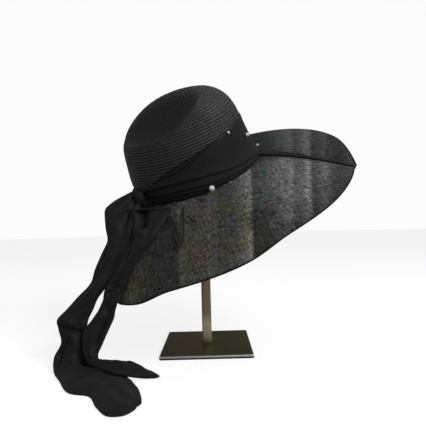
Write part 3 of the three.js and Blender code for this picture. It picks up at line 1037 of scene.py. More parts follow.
@dataclass
class Brim:
    """The wide drooping brim: two layers of open sinamay, the lower one on the bias, and a bound wire edge.

    A tone has a heading in degrees and the grey there: the thread's own grey, with painted light added in
    lighter bands that stand for backdrop light seen through the open weave. A far_side row has the factor on
    that grey past the crease. An edge row has the turn in degrees, the cloth's reach and its droop in
    degrees.
    """

    hat: HatFrame
    tuck: float = 1.5
    lip: float = 5.5
    drop: float = 0.3
    curl: float = 1.35
    head: float = 100.0
    narrow: float = 0.86
    crease_depth: float = 3.0
    crease_width: float = 9.0
    crease_start: float = -1.0
    crease_swing: float = -9.0
    wire: float = 1.1
    bolt: float = 250.0
    stitch: float = 4.6
    focus: tuple[float, float] = (13.9, -618.4)
    # Painted light: over the thread's own grey, the lighter bands stand for backdrop light seen through the
    # open weave.
    thread_and_backdrop_tones: tuple = (
        (-20, 0.09), (-11.6, 0.085), (-9.4, 0.048), (-7.5, 0.038), (-5.08, 0.037), (-5.02, 0.090),
        (-3.8, 0.084), (-1.4, 0.072), (-0.7, 0.100), (0.5, 0.082), (0.86, 0.060), (2.6, 0.076),
        (3.85, 0.115), (4.7, 0.19), (5.5, 0.27), (5.62, 0.062), (6.6, 0.084), (7.5, 0.088),
        (8.5, 0.112), (9.6, 0.165), (10.9, 0.205), (11.4, 0.225), (11.55, 0.105), (12.6, 0.155),
        (13.7, 0.28), (14.0, 0.075), (14.6, 0.095), (15.6, 0.16), (16.1, 0.19), (16.3, 0.115),
        (17.7, 0.092), (19.0, 0.15), (25, 0.13),
    )
    far_side: tuple = (
        (-8, 1.0), (2, 0.5), (5, 0.3), (8, 0.33), (10, 0.42), (12, 0.5), (14, 0.66), (16, 0.36), (20, 0.42),
    )
    plain: float = 0.06
    crackle: float = 0.6
    stains: tuple[Stain, ...] = (
        Stain((-110, -187), (34, 26), Tint.OLIVE),
        Stain((-98, -180), (7, 8), Tint.RUST),
        Stain((-57, -179), (22, 30), Tint.VIOLET),
        Stain((-12, -180), (26, 40), Tint.OLIVE),
        Stain((-16, -182), (9, 13), Tint.RUST),
        Stain((6, -183), (8, 15), Tint.RUST),
        Stain((-6, -199), (11, 9), Tint.RUST),
        Stain((14, -135), (8, 9), Tint.RUST),
        Stain((3, -110), (6, 9), Tint.RUST),
        Stain((24, -194), (15, 22), Tint.VIOLET),
        Stain((42, -160), (12, 18), Tint.VIOLET),
        Stain((33, -130), (14, 18), Tint.OLIVE),
        Stain((38, -194), (14, 14), Tint.OLIVE),
        Stain((60, -168), (11, 46), Tint.OLIVE),
        Stain((50, -205), (7, 9), Tint.RUST),
        Stain((-38, -112), (9, 22), Tint.CHALK),
        Stain((-20, -126), (10, 26), Tint.PALE),
        Stain((80, -165), (30, 26), Tint.DUSK),
        Stain((115, 77), (22, 30), Tint.TEAL),
        Stain((97, -67), (13, 12), Tint.TEAL),
        Stain((98, -115), (9, 9), Tint.TEAL),
    )
    edge: np.ndarray = field(
        default_factory=lambda: np.array([
            (-180, 105, 76), (-165, 122, 62), (-150, 140, 50), (-138, 142.5, 39.6), (-126, 146.5, 29.6),
            (-116, 145.5, 26.2), (-104, 136, 22.5), (-76, 135, 18), (-62, 135, 13), (-36, 132, 17),
            (-14, 135, 20), (-8, 140, 22.5), (-5, 145, 24), (-2, 142.5, 22), (4, 139.5, 18.5),
            (13, 138, 15), (33, 136, 12.5), (60, 133, 12), (92, 126, 14), (110, 120, 22),
            (128, 112, 38), (146, 106, 56), (163, 103, 70), (180, 105, 76),
        ], float)
    )

    def rim(self, angle: np.ndarray) -> np.ndarray:
        """The crown's lower rim as a distance from the hat's axis."""
        return self.narrow * self.head / np.hypot(self.narrow * np.cos(angle), np.sin(angle))

    def plan(self, angle: np.ndarray,
             out: np.ndarray) -> tuple[np.ndarray, np.ndarray, np.ndarray, np.ndarray]:
        """A point's place in plan: out runs from 0 at the crown's rim to 1 at the edge.

        Args:
            angle: Directions round the hat.
            out: Shares of the way from rim to edge.

        Returns:
            The distance from the hat's axis, that from the crease's line, the cloth's reach and its droop.
        """
        turn = signed_degrees(angle)
        reach = through(self.edge, 0, 1, turn)
        droop = np.radians(through(self.edge, 0, 2, turn))
        radius = self.rim(angle) - self.tuck + (self.lip + reach * np.cos(droop)) * out
        aside = radius * np.radians(turn - self.crease_start - self.crease_swing * out)
        return radius, aside, reach, droop

    def surface(self, angle: np.ndarray, out: np.ndarray) -> np.ndarray:
        """The upper face: the cloth falls faster towards the edge, and a shallow crease runs to the tip.

        Args:
            angle: Directions round the hat.
            out: Shares of the way from rim to edge.

        Returns:
            Points in the hat's frame.
        """
        radius, aside, reach, droop = self.plan(angle, out)
        fold = self.crease_depth * np.minimum(1, 6 * out) * bump_at(aside, 0, self.crease_width)
        fall = reach * np.sin(droop) * np.abs(out) ** self.curl
        return np.stack([radius * np.cos(angle), radius * np.sin(angle), -self.drop - fall - fold], -1)

    def lifted(self, angle: np.ndarray, out: np.ndarray, distance: float | np.ndarray) -> np.ndarray:
        """The upper face moved along its own normals.

        Args:
            angle: Directions round the hat.
            out: Shares of the way from rim to edge.
            distance: How far.

        Returns:
            Points in the hat's frame.
        """
        step = 0.004
        along = self.surface(angle + step, out) - self.surface(angle - step, out)
        inner, outer = np.maximum(out - step, 0), np.minimum(out + step, 1)
        radial = self.surface(angle, outer) - self.surface(angle, inner)
        return self.surface(angle, out) + unit(np.cross(radial, along)) * np.asarray(distance)[..., None]

    def share_out(self, x: np.ndarray, y: np.ndarray) -> tuple[np.ndarray, np.ndarray]:
        """Where a point of the flat cloth comes on the brim.

        Args:
            x: Places on the flat cloth.
            y: The same.

        Returns:
            Directions round the hat, and shares of the way from rim to edge.
        """
        angle = np.arctan2(y, x)
        spread = self.lip + through(self.edge, 0, 1, signed_degrees(angle))
        return angle, (np.hypot(x, y) - self.rim(angle) + self.tuck) / spread

    def weave(self, name: str, heading: float, pitch: float, depth: float, seed: int,
              finish: bpy.types.Material, *nodes: str) -> bpy.types.Object:
        """One direction of threads of one layer: straight lines on the flat cloth, carried onto the brim.

        Each thread is a thin three-sided body. It wavers, and its width changes along it.

        Args:
            name: The piece's name.
            heading: The threads' direction on the flat cloth, in degrees.
            pitch: The distance between threads in millimetres.
            depth: How far the threads lie under the brim's upper face.
            seed: Seeds the unevenness.
            finish: The sinamay.
            nodes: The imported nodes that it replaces.

        Returns:
            The threads as one piece.
        """
        random = np.random.default_rng(seed)
        lines = np.arange(-self.bolt, self.bolt, pitch)
        lines = lines + random.normal(0, 0.09 * pitch, len(lines))
        times = np.arange(-self.bolt, self.bolt + self.stitch, self.stitch)
        slow, quick = (self.uneven(random, len(lines), times, length) for length in (34.0, 15.0))
        waver = (0.26 * slow + 0.12 * quick) * pitch
        turn = math.radians(heading)
        x = times[None] * math.cos(turn) - (lines[:, None] + waver) * math.sin(turn)
        y = times[None] * math.sin(turn) + (lines[:, None] + waver) * math.cos(turn)
        out = self.share_out(x, y)[1]
        inside = (out > 0) & (out < 1)
        x, y, end_of = self.trim(x, y, out, inside)
        angle, out = self.share_out(x, y)
        out = np.clip(out, 0, 1)
        middle = self.lifted(angle, out, -depth)
        normal = unit(self.lifted(angle, out, 1.0) - self.lifted(angle, out, 0.0))
        side = unit(np.cross(normal, unit(np.gradient(middle, axis=1))))
        middle = self.hat.world(middle)
        normal, side = normal @ self.hat.axes(), side @ self.hat.axes()
        grain = random.uniform(0.2, 1.8, x.shape)
        colour = self.shade(middle, angle, out, x, y, grain)
        crackle = self.crackle + 0.12 * smoothstep(self.heading(middle), 6.0, 8.0)
        colour *= np.clip(1 + crackle * random.normal(0, 1, x.shape), 0.12, 3.2)[..., None]
        width = pitch * self.cover(colour, angle, out)
        half = 0.5 * width * (1 + 0.14 * self.uneven(random, len(lines), times, 15.0))
        half = np.clip(half, 0.12 * pitch, 0.5 * pitch)[..., None]
        rings = np.stack([middle - side * half, middle + side * half, middle + normal * half * 0.55], 2)
        piece = self.thread_bodies(name, rings, times, inside, end_of, colour)
        return dress(piece, Slot.SINAMAY, finish, *nodes)

    @staticmethod
    def thread_bodies(name: str, rings: np.ndarray, times: np.ndarray, inside: np.ndarray,
                      end_of: tuple[np.ndarray, np.ndarray], colour: np.ndarray) -> bpy.types.Object:
        """Closed three-sided bodies along threads, with a shade attribute.

        Args:
            name: The piece's name.
            rings: Three points round each point of each thread, in millimetres.
            times: The length along a thread at each of its points.
            inside: Whether a point is on the cloth.
            end_of: Whether a step of a thread is its first one, and whether it is its last one.
            colour: A red, green and blue value for each point of each thread.

        Returns:
            The threads as one piece.
        """
        k, t = np.nonzero(inside[:, :-1] | inside[:, 1:])
        base = (k * len(times) + t) * 3
        ahead = base + 3
        sides = [(i, (i + 1) % 3) for i in range(3)]
        quads = [np.stack([ahead + i, ahead + j, base + j, base + i], -1) for i, j in sides]
        u0, u1, v = times[t] * MM, times[t + 1] * MM, k.astype(float)
        corners = ((u1, v), (u1, v + 0.5), (u0, v + 0.5), (u0, v))
        place = np.stack([np.stack(corner, -1) for corner in corners], 1)
        used = np.unique(np.concatenate([q.ravel() for q in quads]))
        number = np.zeros(rings.size // 3, int)
        number[used] = np.arange(len(used))
        faces = [Faces(number[q], place) for q in quads]
        for shut, start, order in zip(end_of, (base, ahead), ((1, 2, 0), (2, 1, 0))):
            tips = np.stack([start[shut[k, t]] + corner for corner in order], -1)
            faces.append(Faces(number[tips], np.zeros((len(tips), 3, 2))))
        piece = make_mesh(name, rings.reshape(-1, 3)[used], faces, 180.0)
        tinted = np.ones((rings.size // 3, 4))
        tinted[:, :3] = np.repeat(np.clip(colour, 0.002, 1).reshape(-1, 3), 3, axis=0)
        shade = piece.data.attributes.new("shade", "FLOAT_COLOR", "POINT")
        shade.data.foreach_set("color", tinted[used].astype(np.float32).ravel())
        return piece

    @staticmethod
    def uneven(random: np.random.Generator, lines: int, times: np.ndarray, length: float) -> np.ndarray:
        """A smooth random value, mostly within 1, as a sum of sines of random lengths.

        Args:
            random: The source of the lengths and phases.
            lines: How many lines there are.
            times: The length along a line at each of its points.
            length: The longest wave, about.

        Returns:
            A value for each point of each line.
        """
        total = np.zeros((lines, len(times)))
        for share in (1.0, 0.6, 0.37):
            phase = random.uniform(0, TURN, (lines, 1))
            stretch = random.uniform(0.7, 1.4, (lines, 1))
            total += np.sin(times[None] * stretch * TURN / (length * share) + phase) * share**0.5
        return total / 1.6

    @staticmethod
    def trim(x: np.ndarray, y: np.ndarray, out: np.ndarray,
             inside: np.ndarray) -> tuple[np.ndarray, np.ndarray, tuple[np.ndarray, np.ndarray]]:
        """Moves each first point past the cloth's border back onto the border.

        Args:
            x: The threads' points on the flat cloth.
            y: The same.
            out: Each point's share of the way from rim to edge.
            inside: Whether it is on the cloth.

        Returns:
            x and y, and for each step of a thread whether it starts and whether it ends there.
        """
        x, y = x.copy(), y.copy()
        leaves = inside[:, :-1] & ~inside[:, 1:]
        enters = ~inside[:, :-1] & inside[:, 1:]
        for mask, inner, outer in ((leaves, 0, 1), (enters, 1, 0)):
            k, t = np.nonzero(mask)
            a, b = out[k, t + inner], out[k, t + outer]
            border = np.where(b < 0, 0.0, 1.0)
            share = (border - a) / (b - a)
            for line in (x, y):
                line[k, t + outer] = line[k, t + inner] * (1 - share) + line[k, t + outer] * share
        return x, y, (enters, leaves)

    def heading(self, world: np.ndarray) -> np.ndarray:
        """The heading in plan, in degrees, from a point in front of the stand, the camera's place, where all
        bands of painted light start.
        """
        return np.degrees(np.arctan2(world[..., 0] - self.focus[0], world[..., 1] - self.focus[1]))

    def shade(self, world: np.ndarray, angle: np.ndarray, out: np.ndarray, x: np.ndarray, y: np.ndarray,
              grain: np.ndarray) -> np.ndarray:
        """The threads' colour: straight bands with sharp seams of painted light, which stand for backdrop
        light seen through the open weave, and painted shade along the crease.

        Args:
            world: Points in the model's frame.
            angle: Their directions round the hat.
            out: Their shares of the way from rim to edge.
            x: Their places on the flat cloth.
            y: The same.
            grain: A random value of about 1 for each point.

        Returns:
            A red, green and blue value for each point.
        """
        heading = self.heading(world)
        tone, beyond = (np.interp(heading, *zip(*table)) for table in (self.thread_and_backdrop_tones, self.far_side))
        aside = self.plan(angle, out)[1]
        near = aside < 0
        tone = tone * np.where(near, 1, beyond)
        turn = signed_degrees(angle)
        back = np.where(near, smoothstep(-turn, 142, 172), smoothstep(turn, 80, 130))
        tone = tone + (self.plain - tone) * back
        # Painted shade along the crease, wider on the near side.
        tone = tone * (1 - 0.92 * bump_at(aside, 0, np.where(near, 9 + 15 * (1 - out), 7 + 6 * (1 - out))))
        # Darker towards the near front edge.
        tone = tone * (1 - 0.5 * smoothstep(out, 0.7, 0.98) * near * smoothstep(heading, 5.4, 5.7))
        colour = np.repeat(tone[..., None], 3, axis=-1)
        for stain in self.stains:
            colour = colour * stain.over(x, y, grain)
        return colour

    def cover(self, colour: np.ndarray, angle: np.ndarray, out: np.ndarray) -> np.ndarray:
        """How wide a thread is for its pitch: less where its painted colour is lighter, and closed along the
        crease.

        Args:
            colour: The thread's colour.
            angle: Directions round the hat.
            out: Shares of the way from rim to edge.

        Returns:
            Its width over its pitch.
        """
        dense = 0.9 - 0.6 * np.clip(colour.mean(-1), 0, 0.2)
        return dense + 0.5 * bump_at(self.plan(angle, out)[1], 0, 1 + 6 * (1 - 0.75 * out))

    def crease_shade_tuck(self, finish: bpy.types.Material) -> None:
        """A narrow bound tuck along the crease, which tapers towards the tip; its black binding finish paints
        the crease's shade as a dark line.

        Args:
            finish: The binding.
        """
        out = np.linspace(0.015, 0.985, 160)
        share = np.linspace(-1, 1, 9)
        turn = np.radians(self.crease_start + self.crease_swing * out)
        width = 3.6 + 3.0 * (1 - out) ** 0.8
        radius = np.linalg.norm(self.surface(turn, out)[:, :2], axis=1)
        angle = turn[:, None] - share[None] * (width / radius)[:, None]
        far = np.broadcast_to(out[:, None], angle.shape)
        points = self.lifted(angle, far, 1.2 + 0.8 * (1 - share[None] ** 2) * (1 - 0.4 * far))
        places = [np.broadcast_to(out[:, None] * 0.14, angle.shape), 3.0 * share[None] + 0 * far]
        piece = shell("crease_shade_strip", self.hat.world(points)[:, ::-1], np.stack(places, -1), 1.1)
        dress(piece, Slot.EDGE, finish)

    def bind(self, finish: bpy.types.Material) -> bpy.types.Object:
        """The wire edge: a round loop just outside the cloth.

        Args:
            finish: The binding.

        Returns:
            The edge.
        """
        steps, sides = 720, 10
        even = circle(steps)
        angle = even - 0.6 * np.sin(even) + math.radians(-4.5)
        one = np.ones(steps)
        middle = self.lifted(angle, one, -0.75)
        outward = unit(middle - self.lifted(angle, 0.99 * one, -0.75))
        across = unit(self.lifted(angle, one, 1.0) - self.lifted(angle, one, 0.0))
        middle = middle + outward * (self.wire - 0.5)
        turn = circle(sides)[None, :, None]
        spokes = outward[:, None] * np.cos(turn) + across[:, None] * np.sin(turn)
        rings = middle[:, None] + self.wire * spokes
        length = np.concatenate([[0], np.cumsum(np.linalg.norm(np.diff(middle, axis=0), axis=1)), [0]])
        length[-1] = length[-2] + np.linalg.norm(middle[0] - middle[-1])
        places = uv_grid(length * MM, np.linspace(0, 1, sides + 1))
        piece = tube("bound_edge", self.hat.world(rings), places, True)
        return dress(piece, Slot.EDGE, finish, "brim_edge")

    def build(self, threads: bpy.types.Material, binding: bpy.types.Material) -> None:
        """Weaves both layers and binds the edge.

        Args:
            threads: The sinamay.
            binding: The binding.
        """
        self.weave("sinamay_upper_warp", 13.0, 1.5, 0.5, 11, threads, "brim")
        self.weave("sinamay_upper_weft", 103.0, 1.5, 0.5, 12, threads)
        self.weave("sinamay_lower_warp", 58.0, 1.6, 1.2, 13, threads)
        self.weave("sinamay_lower_weft", -32.0, 1.6, 1.2, 14, threads)
        self.crease_shade_tuck(binding)
        self.bind(binding)


@dataclass
class Band:
    """The scarf's silk round the crown: broad and smooth above, with pleats below that fan out from the knot.

    A point of the top or of a pleat has the turn in degrees and the height over the rim.
    """

    hat: HatFrame
    crown: Crown
    around: int = 380
    rows: int = 72
    out: float = 2.0
    thick: float = 0.9
    hem: float = 2.6
    low: float = 1.6
    knot: float = -136.0
    girth: float = 93.0
    top: np.ndarray = field(
        default_factory=lambda: np.array([
            (-180, 12), (-150, 20), (-130, 26), (-110, 42), (-90, 52), (-60, 62), (-30, 70),
            (0, 72), (30, 68), (60, 60), (90, 50), (120, 40), (150, 25), (180, 12),
        ], float)
    )
    pleats: tuple = (
        ((-180, 9), (-150, 15), (-129.5, 24), (-106.8, 28.3), (-88.1, 26.5), (-70.5, 22.3), (-52.2, 16.5),
         (-34.4, 13.5), (-7.9, 9), (40, 8), (110, 12), (150, 11), (180, 9)),
        ((-180, 5), (-150, 9), (-128.6, 15.7), (-108.3, 16.2), (-91.3, 14.9), (-79.4, 12.4), (-67.9, 10),
         (-51, 7.6), (-35, 6.2), (0, 4.6), (60, 5), (120, 7), (180, 5)),
        ((-180, 11), (-150, 18), (-128.5, 29), (-112.2, 37.7), (-97.6, 43), (-85, 48), (-60, 60), (0, 80),
         (60, 80), (120, 38), (150, 22), (180, 11)),
        ((-180, 3.4), (-150, 6), (-129, 11), (-112, 10.5), (-98, 9), (-82, 6.5), (-60, 3.6), (0, 0), (120, 3),
         (180, 3.4)),
    )
    heights: tuple[float, ...] = (2.4, 2.0, 1.2, 1.5)

    def by_knot(self, turn: np.ndarray) -> np.ndarray:
        """1 at the knot, fading away from it round the crown."""
        return bump_at((turn - self.knot + 180) % 360 - 180, 0, 75)

    def lift(self, turn: np.ndarray, height: np.ndarray) -> np.ndarray:
        """How far the silk stands out: every pleat is a rolled edge that drops off below and fades above.

        Args:
            turn: Turns in degrees.
            height: Heights over the rim.

        Returns:
            Distances in millimetres.
        """
        total = np.zeros_like(height)
        near = self.by_knot(turn)
        for line, size in zip(self.pleats, self.heights):
            above = height - through(np.array(line, float), 0, 1, turn)
            fading = smoothstep(above, -0.3, 0.9) * np.exp(-np.clip(above, 0, None) / 10)
            total += size * (0.45 + 0.75 * near) * fading
        sway = 0.5 * np.sin(np.radians(turn * 3) + height * 0.09)
        sway += 0.4 * np.sin(np.radians(turn * 7) - height * 0.13)
        return total + 0.35 * sway

    def shadow(self, turn: np.ndarray, height: np.ndarray, top: np.ndarray) -> np.ndarray:
        """The painted shade on the silk: along its turned-in top edge and in the groove below each pleat.

        Args:
            turn: Turns in degrees.
            height: Heights over the rim.
            top: The band's top at each turn.

        Returns:
            Shares from 0 to 1.
        """
        total = 0.9 * (1 - smoothstep(top - height, 1.2, 3.4))
        near = 0.4 + 0.6 * self.by_knot(turn)
        for line in self.pleats:
            below = height - through(np.array(line, float), 0, 1, turn)
            total = np.maximum(total, 0.85 * near * bump_at(below, -0.5, 1.3))
        return total

    def build(self, finish: bpy.types.Material) -> bpy.types.Object:
        """The band as a closed wall of silk, with a soft folded edge at the top.

        Args:
            finish: The silk.

        Returns:
            The band.
        """
        turn = np.linspace(-180, 180, self.around, endpoint=False)[None, :]
        share = 1 - (1 - np.linspace(0, 1, self.rows)[:, None]) ** 1.3
        top = through(self.top, 0, 1, turn)
        height = self.low + (top - self.low) * share
        turn = np.broadcast_to(turn, height.shape)
        edge = np.clip(1 - (top - height) / self.hem, 0, 1)
        under = np.clip(1 - (height - self.low) / 1.8, 0, 1)
        groove = 1.5 * bump_at(top - height, 2.2, 1.1)
        out = self.out + self.lift(turn, height) - groove - 1.7 * edge**2 - 1.2 * under**2
        front = self.crown.wall_point(np.radians(turn), height, out)
        u = np.linspace(0, 0.59, self.around + 1)[None, :] + 0 * share
        v = np.broadcast_to(share * 0.07, u.shape)
        piece = shell("silk_band", self.hat.world(front), np.stack([u, v], -1), self.thick, True)
        paint_shade(piece, self.shadow(turn, height, top))
        return dress(piece, Slot.SILK, finish, "scarf_band")


def ball(name: str, middle: np.ndarray, axes: np.ndarray, around: int, rows: int,
         swell: Callable[[np.ndarray, np.ndarray], np.ndarray] | None = None) -> bpy.types.Object:
    """A closed egg: polar rings round the third axis.

    Args:
        name: The piece's name.
        middle: Its middle in millimetres.
        axes: Its three half axes, one a row.
        around: Points a ring.
        rows: Rings from pole to pole.
        swell: A function of the polar angle and the turn that scales the distance from the middle.

    Returns:
        The egg.
    """
    polar = (np.arange(rows) + 0.5) / rows * math.pi
    p, t = np.meshgrid(polar, circle(around), indexing="ij")
    local = np.stack([np.sin(p) * np.cos(t), np.sin(p) * np.sin(t), np.cos(p)], -1)
    if swell is not None:
        local = local * swell(p, t)[..., None]
    places = uv_grid(np.linspace(0, 0.03, rows), np.linspace(0, 0.06, around + 1))
    return tube(name, (middle + local @ axes)[::-1], places, False)


@dataclass
class Knot:
    """The scarf's small knot, its silk gathered into upright pleats."""

    hat: HatFrame
    crown: Crown
    angle: float = -136.0
    height: float = 16.0
    out: float = 12.5
    halves: tuple[float, float, float] = (8.0, 9.0, 12.0)

    def build(self, finish: bpy.types.Material) -> bpy.types.Object:
        """The knot as an egg whose sides are grooved, deeper towards the top and bottom.

        Args:
            finish: The silk.

        Returns:
            The knot.
        """
        angle = math.radians(self.angle)
        outward = self.crown.outward(angle)
        along = np.array([-outward[1], outward[0], 0.0])
        up = np.array([0, 0, 1.0])
        middle = self.crown.wall_point(angle, np.array(self.height), 0.0) + outward * self.out
        axes = np.stack([outward * self.halves[0], along * self.halves[1], up * self.halves[2]])

        def swell(polar: np.ndarray, turn: np.ndarray) -> np.ndarray:
            """Rounded pleats with sharp valleys, which lean a little and differ in width.

            Args:
                polar: Angles from the upper pole.
                turn: Turns round it.

            Returns:
                Factors on the distance from the middle.
            """
            wave = np.abs(np.sin(3.5 * turn + 0.9 * np.cos(polar) + 0.6 * np.sin(turn)))
            pinch = 0.07 * np.cos(2 * polar)
            return 0.94 + 0.13 * np.sqrt(wave) + pinch + 0.02 * np.sin(7 * polar + 3 * turn)

        piece = ball("silk_knot", self.hat.world(middle), axes @ self.hat.axes(), 150, 70, swell)
        paint_shade(piece, np.zeros(len(piece.data.vertices)))
        return dress(piece, Slot.SILK, finish, "scarf_knot")


@dataclass(frozen=True)
class Fold:
    """A soft ridge or valley along a strip of cloth, from one row and share of the width to another."""

    rows: tuple[float, float]
    shares: tuple[float, float]
    height: float
    width: float
    steep: float = 0.0

    def lift(self, row: np.ndarray, share: np.ndarray, half: np.ndarray) -> np.ndarray:
        """The fold's height. Its steep side, right above 0 and left below, is narrower.

        Args:
            row: Rows of the strip.
            share: Shares of its half width.
            half: Its half width.

        Returns:
            Heights in millimetres.
        """
        start, end = self.rows
        along = np.clip((row - start) / (end - start), 0, 1)
        line = self.shares[0] + (self.shares[1] - self.shares[0]) * along
        aside = (share - line) * half
        side = np.where(aside * self.steep > 0, 1 - 0.7 * abs(self.steep), 1.0)
        fade = smoothstep(row, start - 0.35, start + 0.5) * (1 - smoothstep(row, end - 0.5, end + 0.35))
        return self.height * np.exp(-((aside / (self.width * side)) ** 2)) * fade


@dataclass(frozen=True)
class Crease:
    """A soft ridge or valley across a strip: its row, slant in rows, place, height, length and spread."""

    row: float
    slant: float
    share: float
    height: float
    length: float
    spread: float

    def lift(self, row: np.ndarray, share: np.ndarray) -> np.ndarray:
        """The crease's height: a bell along and across the strip.

        Args:
            row: Rows of the strip.
            share: Shares of its half width.

        Returns:
            Heights in millimetres.
        """
        off = row - self.row - self.slant * (share - self.share)
        return self.height * np.exp(-((off / self.length) ** 2) - ((share - self.share) / self.spread) ** 2)


@dataclass
class Strip:
    """A loose end of the scarf: silk folded in from both sides to a flat tube, gathered at its upper end.

    Each row of the table has the middle (x, y, z), half the folded width and its heading in plan.
    """

    name: str
    nodes: tuple[str, ...]
    rows: np.ndarray
    folds: tuple[Fold, ...]
    creases: tuple[Crease, ...] = ()
    body: float = 3.2
    thick: float = 0.5
    wrap: float = 0.9
    steps: int = 260
    across: int = 80
    seed: int = 5
    rest: float = 0.35
    ripple: float = 0.2
    hem: float = 0.5
    slant: float = 0.0
    slant_rows: float = 3.0

    def frame_at(self, row: np.ndarray) -> tuple[np.ndarray, np.ndarray, np.ndarray, np.ndarray]:
        """The strip's route.

        Args:
            row: Rows of the table, with shares between them.

        Returns:
            The middle, half width, width direction and front direction at each.
        """
        keyed = np.column_stack([np.arange(len(self.rows)), self.rows])
        middle = np.stack([through(keyed, 0, c, row) for c in (1, 2, 3)], -1)
        half = through(keyed, 0, 4, row)
        turn = np.radians(through(keyed, 0, 5, row))
        wide = np.stack([np.cos(turn), np.sin(turn), 0 * turn], -1)
        route = np.gradient(middle, axis=0)
        front = -unit(np.cross(wide, route))
        return middle, half, wide, front

    def relief(self, row: np.ndarray, share: np.ndarray, half: np.ndarray) -> np.ndarray:
        """All folds and creases, and a fine ripple made of sines whose phases are seeded.

        Args:
            row: Rows of the strip.
            share: Shares of its half width.
            half: Its half width.

        Returns:
            Heights in millimetres.
        """
        total = np.zeros_like(share)
        for fold in self.folds:
            total += fold.lift(row, share, half)
        for crease in self.creases:
            total += crease.lift(row, share)
        random = np.random.default_rng(self.seed)
        for _ in range(7):
            a, b = random.uniform(0.9, 3.2), random.uniform(-4.5, 4.5)
            phase = random.uniform(0, TURN)
            total += self.ripple * random.uniform(0.3, 1) * np.sin(a * row * 2.1 + b * share + phase)
        return total

    def shadow(self, relief: np.ndarray, across: np.ndarray) -> np.ndarray:
        """The painted shade on the silk: in the bottoms of valleys and on slopes that fall away to the left.

        Args:
            relief: The folds' height.
            across: The distance from the strip's middle line.

        Returns:
            Shares from 0 to 1.
        """
        valley = 0.8 * smoothstep(-relief, 1.0, 3.4)
        step = np.gradient(across, axis=1)
        slope = np.gradient(relief, axis=1) / np.where(np.abs(step) > 0.05, step, 9)
        return np.maximum(valley, 0.75 * smoothstep(slope, 0.45, 1.4))

    def build(self, finish: bpy.types.Material, held: Held, rests: str) -> bpy.types.Object:
        """The strip as a closed thin wall of silk.

        Args:
            finish: The silk.
            held: How the cloth is held; not used.
            rests: What it hangs from or lies on; not used.

        Returns:
            The strip.
        """
        row = np.linspace(0, len(self.rows) - 1, self.steps)
        middle, half, wide, front = self.frame_at(row)
        wind = np.linspace(math.pi * self.wrap, -math.pi * self.wrap, self.across)
        r, w = np.meshgrid(row, wind, indexing="ij")
        halves = half[:, None] + 0 * r
        share = np.sin(w)
        last = len(self.rows) - 1
        shut = smoothstep(r, -0.3, 0.4) * (1 - 0.97 * smoothstep(r, last - 0.7, last))
        thin = np.minimum(1, halves / 9) * shut
        level = np.sign(np.cos(w)) * np.abs(np.cos(w)) ** 0.7 * self.body * thin
        facing = smoothstep(np.cos(w), -0.15, 0.45)
        relief = self.relief(r, share, halves)
        level += relief * facing * thin
        edge = smoothstep(np.abs(share), 0.955, 0.985) * (np.cos(w) > -0.2)
        level += self.hem * edge * thin
        points = middle[:, None] + wide[:, None] * (share * halves)[..., None]
        points = points + front[:, None] * level[..., None]
        points[..., 2] += self.slant * share * (1 - smoothstep(r, 0.0, self.slant_rows))
        low = np.where(np.cos(w) > 0, self.rest + 1.6 * np.abs(np.cos(w)) ** 0.5, self.rest)
        points[..., 2] = np.maximum(points[..., 2], low + self.thick)
        u = np.cumsum(np.full(r.shape, 0.004), axis=1) * 0.25
        length = np.concatenate([[0], np.cumsum(np.linalg.norm(np.diff(middle, axis=0), axis=1))]) * MM
        places = np.stack([u, length[:, None] + 0 * u], -1)
        piece = shell(self.name, points, places, self.thick)
        paint_shade(piece, self.shadow(relief, share * halves) * facing * shut)
        return dress(piece, Slot.SILK, finish, *self.nodes)


